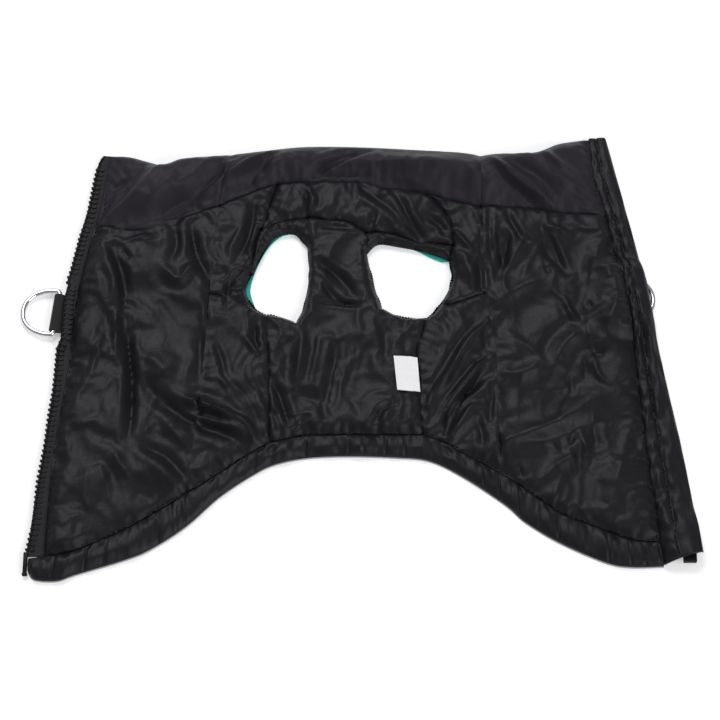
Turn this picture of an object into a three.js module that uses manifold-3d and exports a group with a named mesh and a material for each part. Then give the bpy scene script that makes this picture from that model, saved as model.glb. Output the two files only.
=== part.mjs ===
// Dog winter coat, unzipped and laid open on a table with its lining up.
// Millimetres, +Z up, +X across the coat, +Y towards the neck. The outer shell lies on the table,
// the wadding and lining lie on it, and one half of the back zip runs down each side edge.
import * as THREE from 'three';
import Module from 'manifold-3d';
import { mergeVertices } from 'three/addons/utils/BufferGeometryUtils.js';

const wasm = await Module();
wasm.setup();

// Driving dimensions.
const GAP = 0.3;            // between pieces that touch on the real coat
const SHELL = 1.2;          // outer shell cloth
const SEAM_PAD = 1.3;       // lining and wadding where a seam presses them flat
const LOFT = 6;             // lining and wadding away from the seams
const SEAM_ROLL = 9;        // how far from a seam the wadding takes to fill out
const COLLAR_LIFT = 7.5;    // the drawn-in collar stands this far off the table
const TAPE = 1;             // zip tape
const TAPE_LOW = 1.5;       // underside of the zip tapes
const WEBBING = 1;          // webbing of the ring tabs
const TAB_WIDTH = 23;
const WIRE = 1.6;           // radius of the D-rings' wire
const RING_INSIDE = 25.4;   // for 25 mm webbing
const RING_REACH = 20;      // from the straight bar's middle to the middle of the bow's top
const PIN = { x: -188.4, y: -129.5, width: 2.4, length: 14, thick: 2 };
const SLIDER = { x: 185.4, y: -117.5, width: 9.4, length: 11, plate: 0.9, channel: 2.4, floor: 3.1 };
const BOX = { width: 7.6, length: 5.3, thick: 3.3, neck: 3, neckLength: 1 };
const ARCH = { width: 2.2, length: 8, thick: 0.9, height: 3 };
const PULL = { width: 7, length: 24, thick: 1.2, window: 5.4, arm: 1.7, y: -115.3, z: 2.05 };
const LABEL_THICK = 0.8;

// Corners where seams meet, x and y of each.
const corner = {
  neckLeft: [-150.5, 133], neckSideLeft: [-78, 133.8],
  neckSideRight: [72.8, 133.2], neckRight: [138.8, 144.2],
  facingLeft: [-159, 83], facingSideLeft: [-84, 97.8], yokeLeft: [-49.5, 112.6],
  yokeRight: [39.5, 105.5], facingSideRight: [72.3, 97.2], facingRight: [147, 91.5],
  hemLeft: [-178, -125.3], hemSideLeft: [-98.8, -86.9], hemChestLeft: [-52.3, -55.8],
  hemChestRight: [35.8, -50.6], hemSideRight: [81, -74.8], hemRight: [169, -116.5],
  tuckLeft: [-88.4, 38.5], tuckRight: [73, 39],
  holeSideLeft: [-61.2, 29.5], holeSideRight: [47, 33.5],
  holeYokeLeft: [-59, 82], holeYokeRight: [55.5, 71],
  strapTopLeft: [-31.3, 89.8], strapTopRight: [3.5, 79.5],
  bandLeft: [-31.4, 71], bandRight: [4.2, 66.5],
  holeFootLeft: [-37.6, 21], holeFootRight: [13, 30.5],
  chestLeft: [-55.5, 26.3], chestRight: [39.5, 24.4],
  bandStartLeft: [-65.2, 52], bandEndRight: [53.3, 62.5],
};
const c = corner;

// Seams and edges: each runs from corner to corner through the x, y points between them.
const seam = {
  neckA: [c.neckLeft, [-139, 132.2], [-127, 128.6], [-119, 126.8], [-109, 130.5], [-98, 132.4],
    c.neckSideLeft],
  neckB: [c.neckSideLeft, [-60, 136.4], [-33, 139.4], [0, 139.2], [30, 137.6], [60, 135.6], c.neckSideRight],
  neckC: [c.neckSideRight, [84, 134.8], [106, 135.8], [121, 141.6], c.neckRight],
  facingA: [c.facingLeft, [-151, 84.3], [-136, 81.3], [-121, 84], [-107, 90.4], c.facingSideLeft],
  facingB: [c.facingSideLeft, [-66, 106.7], c.yokeLeft],
  facingC: [c.yokeLeft, [-30, 114.4], [-4, 114], [12, 111], [25, 109.3], c.yokeRight],
  facingD: [c.yokeRight, [55, 101.4], c.facingSideRight],
  facingE: [c.facingSideRight, [84, 97.6], [102, 96.5], [120, 93.2], c.facingRight],
  zipLow: [c.hemLeft, [-177.2, -94], [-175.9, -63], [-172.4, -32], [-169.4, -5], [-168.7, 20],
    [-166.8, 40], [-163, 60], c.facingLeft],
  zipTop: [c.facingLeft, [-155.3, 95], [-152.8, 116], c.neckLeft],
  guardLow: [c.hemRight, [167.6, -94], [165.3, -74], [162, -30], [160.6, -6], [159.2, 14], [156.6, 36],
    [151.2, 67], c.facingRight],
  guardTop: [c.facingRight, [144.6, 101.3], [140.8, 118.4], c.neckRight],
  sideLowLeft: [c.hemSideLeft, [-95, -52], [-92.6, -28], [-90.5, 4], c.tuckLeft],
  sideTopLeft: [c.tuckLeft, [-87.4, 69], c.facingSideLeft],
  sideLowRight: [c.hemSideRight, [79.6, -35], [79.4, 0], [76.8, 18], c.tuckRight],
  sideTopRight: [c.tuckRight, [71.6, 70], c.facingSideRight],
  collarLeft: [c.facingSideLeft, [-81.4, 115], c.neckSideLeft],
  collarRight: [c.facingSideRight, [72.4, 115], c.neckSideRight],
  hemA: [c.hemLeft, [-163.4, -122.6], [-152.4, -118], [-138, -111.4], [-120, -101], c.hemSideLeft],
  hemB: [c.hemSideLeft, [-80, -74.2], [-65, -63.5], c.hemChestLeft],
  hemC: [c.hemChestLeft, [-34, -51.6], [-14, -50.8], [12, -50.8], c.hemChestRight],
  hemD: [c.hemChestRight, [46, -54.4], [60, -62.6], c.hemSideRight],
  hemE: [c.hemSideRight, [93, -83.5], [106, -93.5], [117, -100.7], [133, -107], [152, -114.8], c.hemRight],
  tuckLeft: [c.tuckLeft, [-75, 35.5], c.holeSideLeft],
  tuckRight: [c.holeSideRight, [52, 31.3], [60, 33.8], c.tuckRight],
  yokeEndLeft: [c.holeYokeLeft, [-56.3, 87], [-53.5, 99], c.yokeLeft],
  yokeEndRight: [c.holeYokeRight, [54, 86], [47, 98], c.yokeRight],
  yokeA: [c.holeYokeLeft, [-54, 84.2], [-48, 87], c.strapTopLeft],
  yokeB: [c.strapTopLeft, [-20, 88.2], [-8, 87], c.strapTopRight],
  yokeC: [c.strapTopRight, [17, 79.2], [30, 74.9], [44, 72.6], c.holeYokeRight],
  princessLeft: [c.hemChestLeft, [-52.4, -30], [-52.8, -10], c.chestLeft],
  princessRight: [c.hemChestRight, [34.6, -20], [32.8, 0], [35.4, 10], c.chestRight],
  holeLowLeft: [c.holeSideLeft, [-65.3, 35], [-67.4, 43], c.bandStartLeft],
  holeTopLeft: [c.bandStartLeft, [-63, 64], [-61.8, 74], c.holeYokeLeft],
  holeLowRight: [c.holeSideRight, [51.2, 40], [54.6, 49], [54.3, 55], c.bandEndRight],
  holeTopRight: [c.bandEndRight, [54.2, 67], c.holeYokeRight],
  strapEdgeLeft: [c.holeFootLeft, [-33.5, 30], [-30.8, 45], [-30.2, 58], c.bandLeft],
  strapEdgeRight: [c.holeFootRight, [9.5, 41], [7.3, 50], [5.2, 60], c.bandRight],
  bandSideLeft: [c.bandLeft, [-30.7, 80], c.strapTopLeft],
  bandSideRight: [c.bandRight, [4.4, 73.4], c.strapTopRight],
  holeFootLeft: [c.holeSideLeft, [-58.7, 27.4], c.chestLeft],
  holeFootRight: [c.chestRight, [44, 27.8], c.holeSideRight],
  holeChestLeft: [c.chestLeft, [-46, 24.3], c.holeFootLeft],
  holeChestRight: [c.holeFootRight, [20, 26.3], [30, 23.8], c.chestRight],
  bandEdgeLeft: [[-63.2, 52.6], [-60.4, 61], [-57, 68], [-53, 74.6], [-48.6, 78.6], [-39, 79.6], c.bandLeft],
  bandEdgeRight: [c.bandRight, [11, 73], [24, 71.2], [38, 68], c.bandEndRight],
  bandTipLeft: [[-63.2, 52.6], [-64.2, 52.5], c.bandStartLeft],
  guardFoot: [[171.4, -130.2], c.hemRight],
};

// Lines inside a panel, where two of its stretches of cloth meet with no seam.
const inside = {
  strapFoot: [c.holeFootLeft, c.holeFootRight],
};

// Number of cells along each seam. Opposite sides of a panel add up to the same number.
const cells = {
  neckA: 10, neckB: 22, neckC: 11,
  facingA: 10, facingB: 4, facingC: 14, facingD: 4, facingE: 11,
  hemA: 10, hemB: 6, hemC: 12, hemD: 6, hemE: 11,
  zipLow: 25, zipTop: 7, guardLow: 24, guardTop: 7, guardFoot: 2,
  sideLowLeft: 14, sideTopLeft: 11, sideLowRight: 14, sideTopRight: 10,
  collarLeft: 7, collarRight: 7, princessLeft: 14, princessRight: 14,
  tuckLeft: 4, tuckRight: 4, yokeEndLeft: 4, yokeEndRight: 4, yokeA: 3, yokeB: 5, yokeC: 6,
  holeLowLeft: 3, holeTopLeft: 4, holeLowRight: 4, holeTopRight: 2, holeFootLeft: 2, holeFootRight: 2,
  holeChestLeft: 3, holeChestRight: 4, strapFoot: 5, strapEdgeLeft: 7, strapEdgeRight: 7,
  bandSideLeft: 2, bandSideRight: 2, bandTipLeft: 2, bandEdgeLeft: 7, bandEdgeRight: 6,
};

// Raw edges outside the sewn panels.
const edge = {
  zip: [[-153.6, 133.2], [-156.6, 126], [-160.2, 102], [-165, 79], [-169.7, 55], [-173.9, 36], [-174.9, 12],
    [-176.4, -24], [-179.2, -55], [-182.6, -87], [-184.7, -112], [-186.7, -125]],
  guard: [[149.5, 144.7], [152, 132.2], [159.5, 95.8], [167.5, 60.8], [171.6, 42], [173.2, 20], [176.9, -11],
    [184.4, -56.7], [189.7, -96.2], [192.9, -124.2]],
  hem: [[-186.6, -134], [-182.5, -138.6], [-170, -139.2], [-160, -135.6], [-133.4, -127], [-118, -120.2],
    [-98.5, -106.5], [-79.7, -88.5], [-61, -75], [-48.7, -68.6], [-31, -64.6], [-8, -63.4], [20, -64.2],
    [40, -66.5], [60, -77], [83, -93.6], [94, -104], [113, -116.4], [138.4, -128.2], [153, -131],
    [171, -130.6]],
};

// Folds of the cloth: a crease (height below 0) or ridge runs from x0, y0 to x1, y1, bends aside by
// "bend" at its middle, and is "width" wide to each side.
const folds = [
  { x0: -146, y0: 71, x1: -138, y1: 25, bend: 2, width: 4, height: -2.6 },
  { x0: -138.5, y0: 25, x1: -132.5, y1: -53, bend: 3, width: 3.5, height: -3 },
  { x0: -149, y0: 64, x1: -142, y1: 36, bend: 1, width: 4, height: 1.6 },
  { x0: -150, y0: 34, x1: -147, y1: 4, bend: 0, width: 5, height: -1.5 },
  { x0: -126, y0: 0, x1: -110, y1: -16, bend: 2, width: 9, height: 1.8 },
  { x0: -123, y0: -20, x1: -70, y1: -53, bend: -4, width: 5, height: -2.6 },
  { x0: -106, y0: -27, x1: -64, y1: -52, bend: 5, width: 4.5, height: 2.6 },
  { x0: -142, y0: -60, x1: -131, y1: -78, bend: 0, width: 5, height: 1.8 },
  { x0: -128, y0: -56, x1: -99, y1: -78, bend: 4, width: 4, height: -2 },
  { x0: -124, y0: -64, x1: -105, y1: -82, bend: 0, width: 7, height: 1.5 },
  { x0: -113, y0: -42, x1: -98, y1: -58, bend: 0, width: 5, height: 1.8 },
  { x0: -118, y0: 60, x1: -98, y1: 62, bend: -13, width: 4, height: 2 },
  { x0: -110, y0: 88, x1: -112, y1: 60, bend: 2, width: 4, height: -1.8 },
  { x0: -101, y0: 88, x1: -86, y1: 44, bend: -3, width: 4, height: -2.6 },
  { x0: -63, y0: 103, x1: -73, y1: 62, bend: 3, width: 4, height: -2.6 },
  { x0: -66, y0: 54, x1: -78, y1: 45, bend: 4, width: 3.5, height: -2 },
  { x0: -93, y0: 20, x1: -93, y1: -20, bend: 0, width: 4.5, height: -1.8 },
  { x0: -71, y0: -20, x1: -57, y1: -48, bend: 2, width: 4, height: -1.8 },
  { x0: -51, y0: -14, x1: -41, y1: -46, bend: 1, width: 3.5, height: -2.4 },
  { x0: -34, y0: 16, x1: -38, y1: -20, bend: 1, width: 4, height: 1.6 },
  { x0: -14, y0: 14, x1: -20, y1: -38, bend: 1, width: 3.5, height: -1.8 },
  { x0: -27, y0: 63, x1: -2, y1: 37, bend: 3, width: 3.5, height: -1.8 },
  { x0: 1, y0: 112, x1: 35, y1: 77, bend: 2, width: 4, height: -3 },
  { x0: 10, y0: 105, x1: 32, y1: 84, bend: 0, width: 4.5, height: 1.5 },
  { x0: -157, y0: 87, x1: -121, y1: 125, bend: -3, width: 5, height: 3 },
  { x0: -140, y0: 96, x1: -106, y1: 122, bend: -2, width: 12, height: 3.5 },
  { x0: -126, y0: 89, x1: -78, y1: 131, bend: -5, width: 6, height: -4.5 },
  { x0: -100, y0: 104, x1: -54, y1: 135, bend: 2, width: 4.5, height: 2.4 },
  { x0: -69, y0: 107, x1: -52, y1: 133, bend: 2, width: 4, height: -2.2 },
  { x0: -60, y0: 124, x1: -32, y1: 130, bend: 0, width: 8, height: 2 },
  { x0: -29, y0: 117, x1: 6, y1: 136, bend: 6, width: 4, height: -3 },
  { x0: -10, y0: 127, x1: 66, y1: 126, bend: 2, width: 8, height: 2.5 },
  { x0: 77, y0: 131, x1: 115, y1: 99, bend: 3, width: 4.5, height: 3 },
  { x0: 86, y0: 130, x1: 120, y1: 104, bend: 3, width: 6, height: -2.4 },
  { x0: 110, y0: 134, x1: 141, y1: 103, bend: 2, width: 4, height: 2 },
  { x0: 72, y0: 62, x1: 72.5, y1: 40, bend: 0, width: 3.5, height: -3 },
  { x0: 84, y0: 86, x1: 83, y1: 54, bend: 2, width: 4, height: -2.2 },
  { x0: 61, y0: 70, x1: 66, y1: 46, bend: 0, width: 5, height: 1.5 },
  { x0: 107, y0: 84, x1: 121, y1: 53, bend: -2, width: 4, height: -2 },
  { x0: 80, y0: 36, x1: 110, y1: 52, bend: 0, width: 9, height: 2 },
  { x0: 131, y0: 17, x1: 112, y1: -8, bend: -3, width: 6, height: 2.4 },
  { x0: 88, y0: -24, x1: 130, y1: -18, bend: 0, width: 8, height: -1.8 },
  { x0: 72, y0: -58, x1: 134, y1: -29, bend: -4, width: 8, height: 2.8 },
  { x0: 92, y0: -55, x1: 128, y1: -44, bend: -3, width: 4.5, height: -1.8 },
  { x0: 110, y0: -71, x1: 125, y1: -62, bend: 0, width: 6, height: 1.8 },
  { x0: 134, y0: -34, x1: 135, y1: -62, bend: 0, width: 4, height: -1.4 },
  { x0: 152, y0: -62, x1: 143, y1: -86, bend: 0, width: 8, height: 1.4 },
  { x0: 76, y0: 23, x1: 42, y1: -32, bend: -2, width: 4.5, height: 2.4 },
  { x0: 78, y0: -1, x1: 52, y1: -34, bend: -2, width: 4, height: 1.6 },
  { x0: 74, y0: -10, x1: 49, y1: -48, bend: -3, width: 4, height: -2.4 },
  { x0: 68, y0: -32, x1: 54, y1: -51, bend: 1, width: 3.5, height: 1.8 },
];

// The rings: place of the bar, length of the tab's tail, and whether the ring points to the left.
const ringLeft = { x: -178.4, y: 27.2, tail: 9.5, turn: 174 };
const ringRight = { x: 153, y: 36.6, tail: 17.2, turn: 0 };
const BAR_HEIGHT = WIRE + GAP + WEBBING;
const LOOP_TOP = 2 * BAR_HEIGHT;
const TAIL = 2 * WEBBING + 0.2;

// Curves.
function spline(rows) {
  return new THREE.SplineCurve(rows.map(([x, y]) => new THREE.Vector2(x, y)));
}

function stations(rows, steps) {
  return spline(rows).getSpacedPoints(steps);
}

// Points along seams in turn, as many as their cells. A minus sign runs a seam backwards.
function run(names, finer = 1) {
  return names.flatMap((name, i) => {
    const plain = name.replace('-', '');
    const points = stations(seam[plain] ?? inside[plain], cells[plain] * finer);
    return (name === plain ? points : points.reverse()).slice(i ? 1 : 0);
  });
}

function distanceToLine(x, y, line) {
  let best = Infinity;
  for (let i = 1; i < line.length; i += 1) {
    const a = line[i - 1];
    const b = line[i];
    const dx = b.x - a.x;
    const dy = b.y - a.y;
    const t = THREE.MathUtils.clamp(((x - a.x) * dx + (y - a.y) * dy) / (dx * dx + dy * dy || 1), 0, 1);
    best = Math.min(best, Math.hypot(x - a.x - t * dx, y - a.y - t * dy));
  }
  return best;
}

const step = THREE.MathUtils.smoothstep;
const seamLines = Object.values(seam).map((rows) => stations(rows, 24));
const neckLine = [...stations(seam.neckA, 24), ...stations(seam.neckB, 24), ...stations(seam.neckC, 24)];
const facingLine = ['A', 'B', 'C', 'D', 'E'].flatMap((letter) => stations(seam[`facing${letter}`], 24));
const creases = folds.map((fold) => {
  const start = new THREE.Vector2(fold.x0, fold.y0);
  const end = new THREE.Vector2(fold.x1, fold.y1);
  const along = end.clone().sub(start).normalize();
  const middle = start.clone().add(end).multiplyScalar(0.5);
  middle.add(new THREE.Vector2(-along.y, along.x).multiplyScalar(2 * fold.bend));
  return { ...fold, line: new THREE.QuadraticBezierCurve(start, middle, end).getPoints(12) };
});

function facingHeight(x) {
  const i = facingLine.findIndex((point) => point.x > x);
  if (i <= 0) {
    return i < 0 ? facingLine.at(-1).y : facingLine[0].y;
  }
  const a = facingLine[i - 1];
  const b = facingLine[i];
  return THREE.MathUtils.mapLinear(x, a.x, b.x, a.y, b.y);
}

// How far the shell's underside is off the table: under the collar, and over the right ring's tab.
function lift(x, y) {
  let height = 0;
  if (y > facingHeight(x)) {
    const rise = step(distanceToLine(x, y, facingLine), 0, 20) * step(distanceToLine(x, y, neckLine), 0, 15);
    height = COLLAR_LIFT * rise * step(x, -152, -116) * (1 - step(x, 112, 142));
  }
  const across = x - ringRight.x;
  const aside = Math.abs(y - ringRight.y);
  const over = step(across, -26, -5) * (1 - 0.35 * step(across, 6, 22));
  return Math.max(height, (LOOP_TOP + 1.2) * over * (1 - step(aside, 19, 33)));
}

// Thickness of the lining and its wadding.
function padding(x, y) {
  let nearest = Infinity;
  for (const line of seamLines) {
    nearest = Math.min(nearest, distanceToLine(x, y, line));
  }
  let thick = SEAM_PAD + (LOFT - SEAM_PAD) * (1 - Math.exp(-((nearest / SEAM_ROLL) ** 1.3)));
  for (const crease of creases) {
    const off = distanceToLine(x, y, crease.line);
    if (off < 3 * crease.width) {
      thick += crease.height * Math.exp(-((off / crease.width) ** 2)) * step(nearest, -1, 7);
    }
  }
  return Math.max(thick, SEAM_PAD);
}

const underShell = (x, y) => lift(x, y);
const overShell = (x, y) => lift(x, y) + SHELL;
const underLining = (x, y) => lift(x, y) + SHELL + GAP;
const overLining = (x, y) => underLining(x, y) + padding(x, y);

// Triangles that fill an outline with no new points, turned the way the outline runs.
function fill(outline, holes = []) {
  const all = [outline, ...holes].flat();
  const way = Math.sign(THREE.ShapeUtils.area(outline));
  return THREE.ShapeUtils.triangulateShape(outline, holes).map((face) => {
    const turn = Math.sign(THREE.ShapeUtils.area(face.map((i) => all[i])));
    return turn === way ? face : [...face].reverse();
  });
}

// Flat cutting pattern of a panel: cells between four edges for each block, and for cloth that lies
// flat only the points of its outline and holes.
function pattern(blocks, plain) {
  const points = [];
  const triangles = [];
  const found = new Map();
  const place = (point) => {
    const key = `${point.x.toFixed(2)},${point.y.toFixed(2)}`;
    if (!found.has(key)) {
      found.set(key, points.length);
      points.push(point.clone());
    }
    return found.get(key);
  };
  for (const { bottom, top, left, right } of blocks) {
    const columns = bottom.length - 1;
    const rows = left.length - 1;
    const grid = [];
    for (let j = 0; j <= rows; j += 1) {
      grid.push([]);
      for (let i = 0; i <= columns; i += 1) {
        const u = i / columns;
        const v = j / rows;
        const blend = (key) => (1 - v) * bottom[i][key] + v * top[i][key]
          + (1 - u) * left[j][key] + u * right[j][key]
          - (1 - u) * (1 - v) * bottom[0][key] - u * (1 - v) * bottom[columns][key]
          - (1 - u) * v * top[0][key] - u * v * top[columns][key];
        grid[j].push(place(new THREE.Vector2(blend('x'), blend('y'))));
      }
    }
    for (let j = 0; j < rows; j += 1) {
      for (let i = 0; i < columns; i += 1) {
        const [a, b, d, e] = [grid[j][i], grid[j][i + 1], grid[j + 1][i + 1], grid[j + 1][i]];
        const smallest = (pair) => {
          const [one, other] = pair.map((face) => THREE.ShapeUtils.area(face.map((k) => points[k])));
          return Math.sign(one * other) * Math.min(Math.abs(one), Math.abs(other));
        };
        const rising = [[a, b, d], [a, d, e]];
        const falling = [[a, b, e], [b, d, e]];
        triangles.push(...(smallest(rising) >= smallest(falling) ? rising : falling));
      }
    }
  }
  if (plain) {
    const all = [plain.outline, ...plain.holes].flat().map(place);
    triangles.push(...fill(plain.outline, plain.holes).map((face) => face.map((i) => all[i])));
  }
  for (const triangle of triangles) {
    const [a, b, d] = triangle.map((i) => points[i]);
    if ((b.x - a.x) * (d.y - a.y) < (b.y - a.y) * (d.x - a.x)) {
      triangle.reverse();
    }
  }
  return { points, triangles, loops: rims(triangles) };
}

// Outline loops of a pattern, as chains of point numbers with the cloth on their left.
function rims(triangles) {
  const open = new Map();
  for (const [a, b, d] of triangles) {
    for (const [from, to] of [[a, b], [b, d], [d, a]]) {
      open.set(`${from},${to}`, [from, to]);
    }
  }
  const next = new Map();
  for (const [from, to] of open.values()) {
    if (!open.has(`${to},${from}`)) {
      next.set(from, to);
    }
  }
  const loops = [];
  while (next.size) {
    const loop = [];
    let at = next.keys().next().value;
    while (next.has(at)) {
      loop.push(at);
      const to = next.get(at);
      next.delete(at);
      at = to;
    }
    loops.push(loop);
  }
  return loops;
}

// Draws a pattern's outline in by half the gap between pieces, and leaves the rest.
function trimmed(sheet, amount = GAP / 2) {
  const points = sheet.points.map((point) => point.clone());
  for (const loop of sheet.loops) {
    loop.forEach((index, k) => {
      const before = sheet.points[loop.at(k - 1)];
      const here = sheet.points[index];
      const after = sheet.points[loop[(k + 1) % loop.length]];
      const first = here.clone().sub(before).normalize();
      const second = after.clone().sub(here).normalize();
      const inward = new THREE.Vector2(-first.y - second.y, first.x + second.x);
      const reach = Math.max(inward.lengthSq() / 2, 0.5);
      points[index].addScaledVector(inward, amount / reach);
    });
  }
  return { ...sheet, points };
}

function solid(positions, faces) {
  const geometry = new THREE.BufferGeometry();
  geometry.setAttribute('position', new THREE.Float32BufferAttribute(positions.flat(), 3));
  geometry.setIndex(faces.flat());
  return geometry;
}

// A wall of cloth over a pattern, from its underside to its top. A panel that lies flat has its
// underside cut in one plane, with points on its outline only.
function clothWall(sheet, under, over, flat) {
  const positions = sheet.points.map(({ x, y }) => [x, y, over(x, y)]);
  const faces = sheet.triangles.map((triangle) => [...triangle]);
  const below = new Map();
  sheet.points.forEach(({ x, y }, i) => {
    if (!flat || sheet.loops.some((loop) => loop.includes(i))) {
      below.set(i, positions.length);
      positions.push([x, y, under(x, y)]);
    }
  });
  const floor = flat ? flatFill(sheet) : sheet.triangles;
  for (const [a, b, d] of floor) {
    faces.push([below.get(d), below.get(b), below.get(a)]);
  }
  for (const loop of sheet.loops) {
    loop.forEach((a, k) => {
      const b = loop[(k + 1) % loop.length];
      faces.push([a, below.get(a), below.get(b)], [a, below.get(b), b]);
    });
  }
  return solid(positions, faces);
}

function flatFill(sheet) {
  const [outline] = sheet.loops;
  return fill(outline.map((i) => sheet.points[i])).map((face) => face.map((i) => outline[i]));
}

// A narrow strip sewn along an edge: "ring" gives its section at each station, as places across the
// strip (0 at the inner line, 1 at the outer) with their heights.
function strip(inner, outer, ring) {
  const positions = [];
  const faces = [];
  const count = ring(0, inner[0], outer[0]).length;
  inner.forEach((from, k) => {
    for (const [across, z] of ring(k / (inner.length - 1), from, outer[k])) {
      const point = from.clone().lerp(outer[k], across);
      positions.push([point.x, point.y, z]);
    }
  });
  const last = positions.length - count;
  for (let k = 0; k < inner.length - 1; k += 1) {
    for (let i = 0; i < count; i += 1) {
      const [a, b] = [k * count + i, k * count + (i + 1) % count];
      faces.push([a, b, b + count], [a, b + count, a + count]);
    }
  }
  const end = ring(0, inner[0], outer[0]).map(([across, z]) => new THREE.Vector2(across * 10, z));
  for (const [a, b, d] of fill(end)) {
    faces.push([d, b, a], [last + a, last + b, last + d]);
  }
  return facingOut(solid(positions, faces));
}

function facingOut(geometry) {
  const index = geometry.getIndex();
  const at = geometry.getAttribute('position');
  const corners = [0, 1, 2].map(() => new THREE.Vector3());
  let volume = 0;
  for (let i = 0; i < index.count; i += 3) {
    corners.forEach((corner3, k) => corner3.fromBufferAttribute(at, index.getX(i + k)));
    volume += corners[0].dot(corners[1].clone().cross(corners[2]));
  }
  if (volume < 0) {
    for (let i = 0; i < index.count; i += 3) {
      const keep = index.getX(i);
      index.setX(i, index.getX(i + 2));
      index.setX(i + 2, keep);
    }
  }
  return geometry;
}

// Gathers along a sewn edge: how far the cloth stands up at a place along it, -1 to 1.
function gathers(t, count, drift) {
  return Math.sin(2 * Math.PI * (count * t + 0.4 * Math.sin(9 * t + drift) + 0.3 * Math.sin(23 * t)));
}

// Finishes of the real materials.
const finish = {
  lining: new THREE.MeshStandardMaterial({ color: 0x232326, roughness: 0.45, metalness: 0 }),
  facing: new THREE.MeshStandardMaterial({ color: 0x252229, roughness: 0.6, metalness: 0 }),
  shell: new THREE.MeshStandardMaterial({ color: 0x17a89c, roughness: 0.7, metalness: 0 }),
  trim: new THREE.MeshStandardMaterial({ color: 0xb9bdc0, roughness: 0.5, metalness: 0 }),
  tape: new THREE.MeshStandardMaterial({ color: 0x1a1a1d, roughness: 0.85, metalness: 0 }),
  acetal: new THREE.MeshStandardMaterial({ color: 0x151517, roughness: 0.35, metalness: 0 }),
  webbing: new THREE.MeshStandardMaterial({ color: 0x1d1d20, roughness: 0.9, metalness: 0 }),
  chrome: new THREE.MeshStandardMaterial({ color: 0xd8dadd, roughness: 0.15, metalness: 1 }),
  label: new THREE.MeshStandardMaterial({ color: 0xeeeeec, roughness: 0.8, metalness: 0 }),
};
const coat = new THREE.Group();

function add(name, geometry, material) {
  const mesh = new THREE.Mesh(geometry, material);
  mesh.name = name;
  coat.add(mesh);
  return mesh;
}

// Sewn pieces by the seams along their sides, each with its number of cells.
const collarBlocks = {
  neck_facing_left: {
    bottom: run(['facingA']), top: run(['neckA']),
    left: run(['zipTop']), right: run(['collarLeft']),
  },
  neck_facing_centre: {
    bottom: run(['facingB', 'facingC', 'facingD']), top: run(['neckB']),
    left: run(['collarLeft']), right: run(['collarRight']),
  },
  neck_facing_right: {
    bottom: run(['facingE']), top: run(['neckC']),
    left: run(['collarRight']), right: run(['guardTop']),
  },
};
const backRightBlock = {
  bottom: run(['hemE']), top: run(['facingE']),
  left: run(['sideLowRight', 'sideTopRight']), right: run(['guardLow']),
};
const panels = {
  back_lining_left: [{
    bottom: run(['hemA']), top: run(['facingA']),
    left: run(['zipLow']), right: run(['sideLowLeft', 'sideTopLeft']),
  }],
  side_upper_left: [{
    bottom: run(['tuckLeft']), top: run(['facingB']),
    left: run(['sideTopLeft']), right: run(['holeLowLeft', 'holeTopLeft', 'yokeEndLeft']),
  }],
  side_upper_right: [{
    bottom: run(['tuckRight']), top: run(['facingD']),
    left: run(['holeLowRight', 'holeTopRight', 'yokeEndRight']), right: run(['sideTopRight']),
  }],
  side_lower_left: [{
    bottom: run(['hemB']), top: run(['tuckLeft', 'holeFootLeft']),
    left: run(['sideLowLeft']), right: run(['princessLeft']),
  }],
  side_lower_right: [{
    bottom: run(['hemD']), top: run(['holeFootRight', 'tuckRight']),
    left: run(['princessRight']), right: run(['sideLowRight']),
  }],
  chest_yoke: [{
    bottom: run(['yokeA', 'yokeB', 'yokeC']), top: run(['facingC']),
    left: run(['yokeEndLeft']), right: run(['yokeEndRight']),
  }],
  chest_panel: [
    {
      bottom: run(['strapFoot']), top: run(['yokeB']),
      left: run(['strapEdgeLeft', 'bandSideLeft']),
      right: run(['strapEdgeRight', 'bandSideRight']),
    },
    {
      bottom: run(['hemC']), top: run(['holeChestLeft', 'strapFoot', 'holeChestRight']),
      left: run(['princessLeft']), right: run(['princessRight']),
    },
  ],
  hole_binding_left: [{
    bottom: run(['bandEdgeLeft']), top: run(['holeTopLeft', 'yokeA']),
    left: run(['bandTipLeft']), right: run(['bandSideLeft']),
  }],
  hole_binding_right: [{
    bottom: run(['bandEdgeRight']), top: run(['yokeC']),
    left: run(['bandSideRight']), right: run(['holeTopRight']),
  }],
};

// The shell's leg holes. Each shows a rim of shell on the side where the lining is drawn back.
const shellHoles = {
  left: run(['-holeChestLeft', '-holeFootLeft']).concat(
    spline([[-61, 30.4], [-63.6, 36], [-65.4, 44], [-62, 57], [-56, 70], [-50.6, 77.2]]).getSpacedPoints(9),
    spline([[-44, 81], [-35, 79.4], [-30, 71], [-29, 58], [-29.6, 45], [-32.4, 30]]).getSpacedPoints(9),
  ),
  right: run(['-bandEdgeRight', '-strapEdgeRight', 'holeChestRight', 'holeFootRight', 'holeLowRight'])
    .slice(0, -1),
};

const panelMaterial = (name) => (name.startsWith('neck') ? finish.facing : finish.lining);
for (const [name, block] of Object.entries({ ...collarBlocks, back_lining_right: backRightBlock })) {
  add(name, clothWall(trimmed(pattern([block])), underLining, overLining, false), panelMaterial(name));
}
for (const [name, blocks] of Object.entries(panels)) {
  add(name, clothWall(trimmed(pattern(blocks)), underLining, overLining, true), panelMaterial(name));
}

const shellFlat = {
  outline: [
    ...run(['hemA', 'hemB', 'hemC', 'hemD', 'sideLowRight', 'sideTopRight']),
    ...run(['-facingD', '-facingC', '-facingB', '-facingA', '-zipLow'])
      .slice(1, -1),
  ],
  holes: [shellHoles.left, shellHoles.right],
};
add('outer_shell', clothWall(
  trimmed(pattern([...Object.values(collarBlocks), backRightBlock], shellFlat), 0),
  underShell, overShell, false,
), finish.shell);

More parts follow.
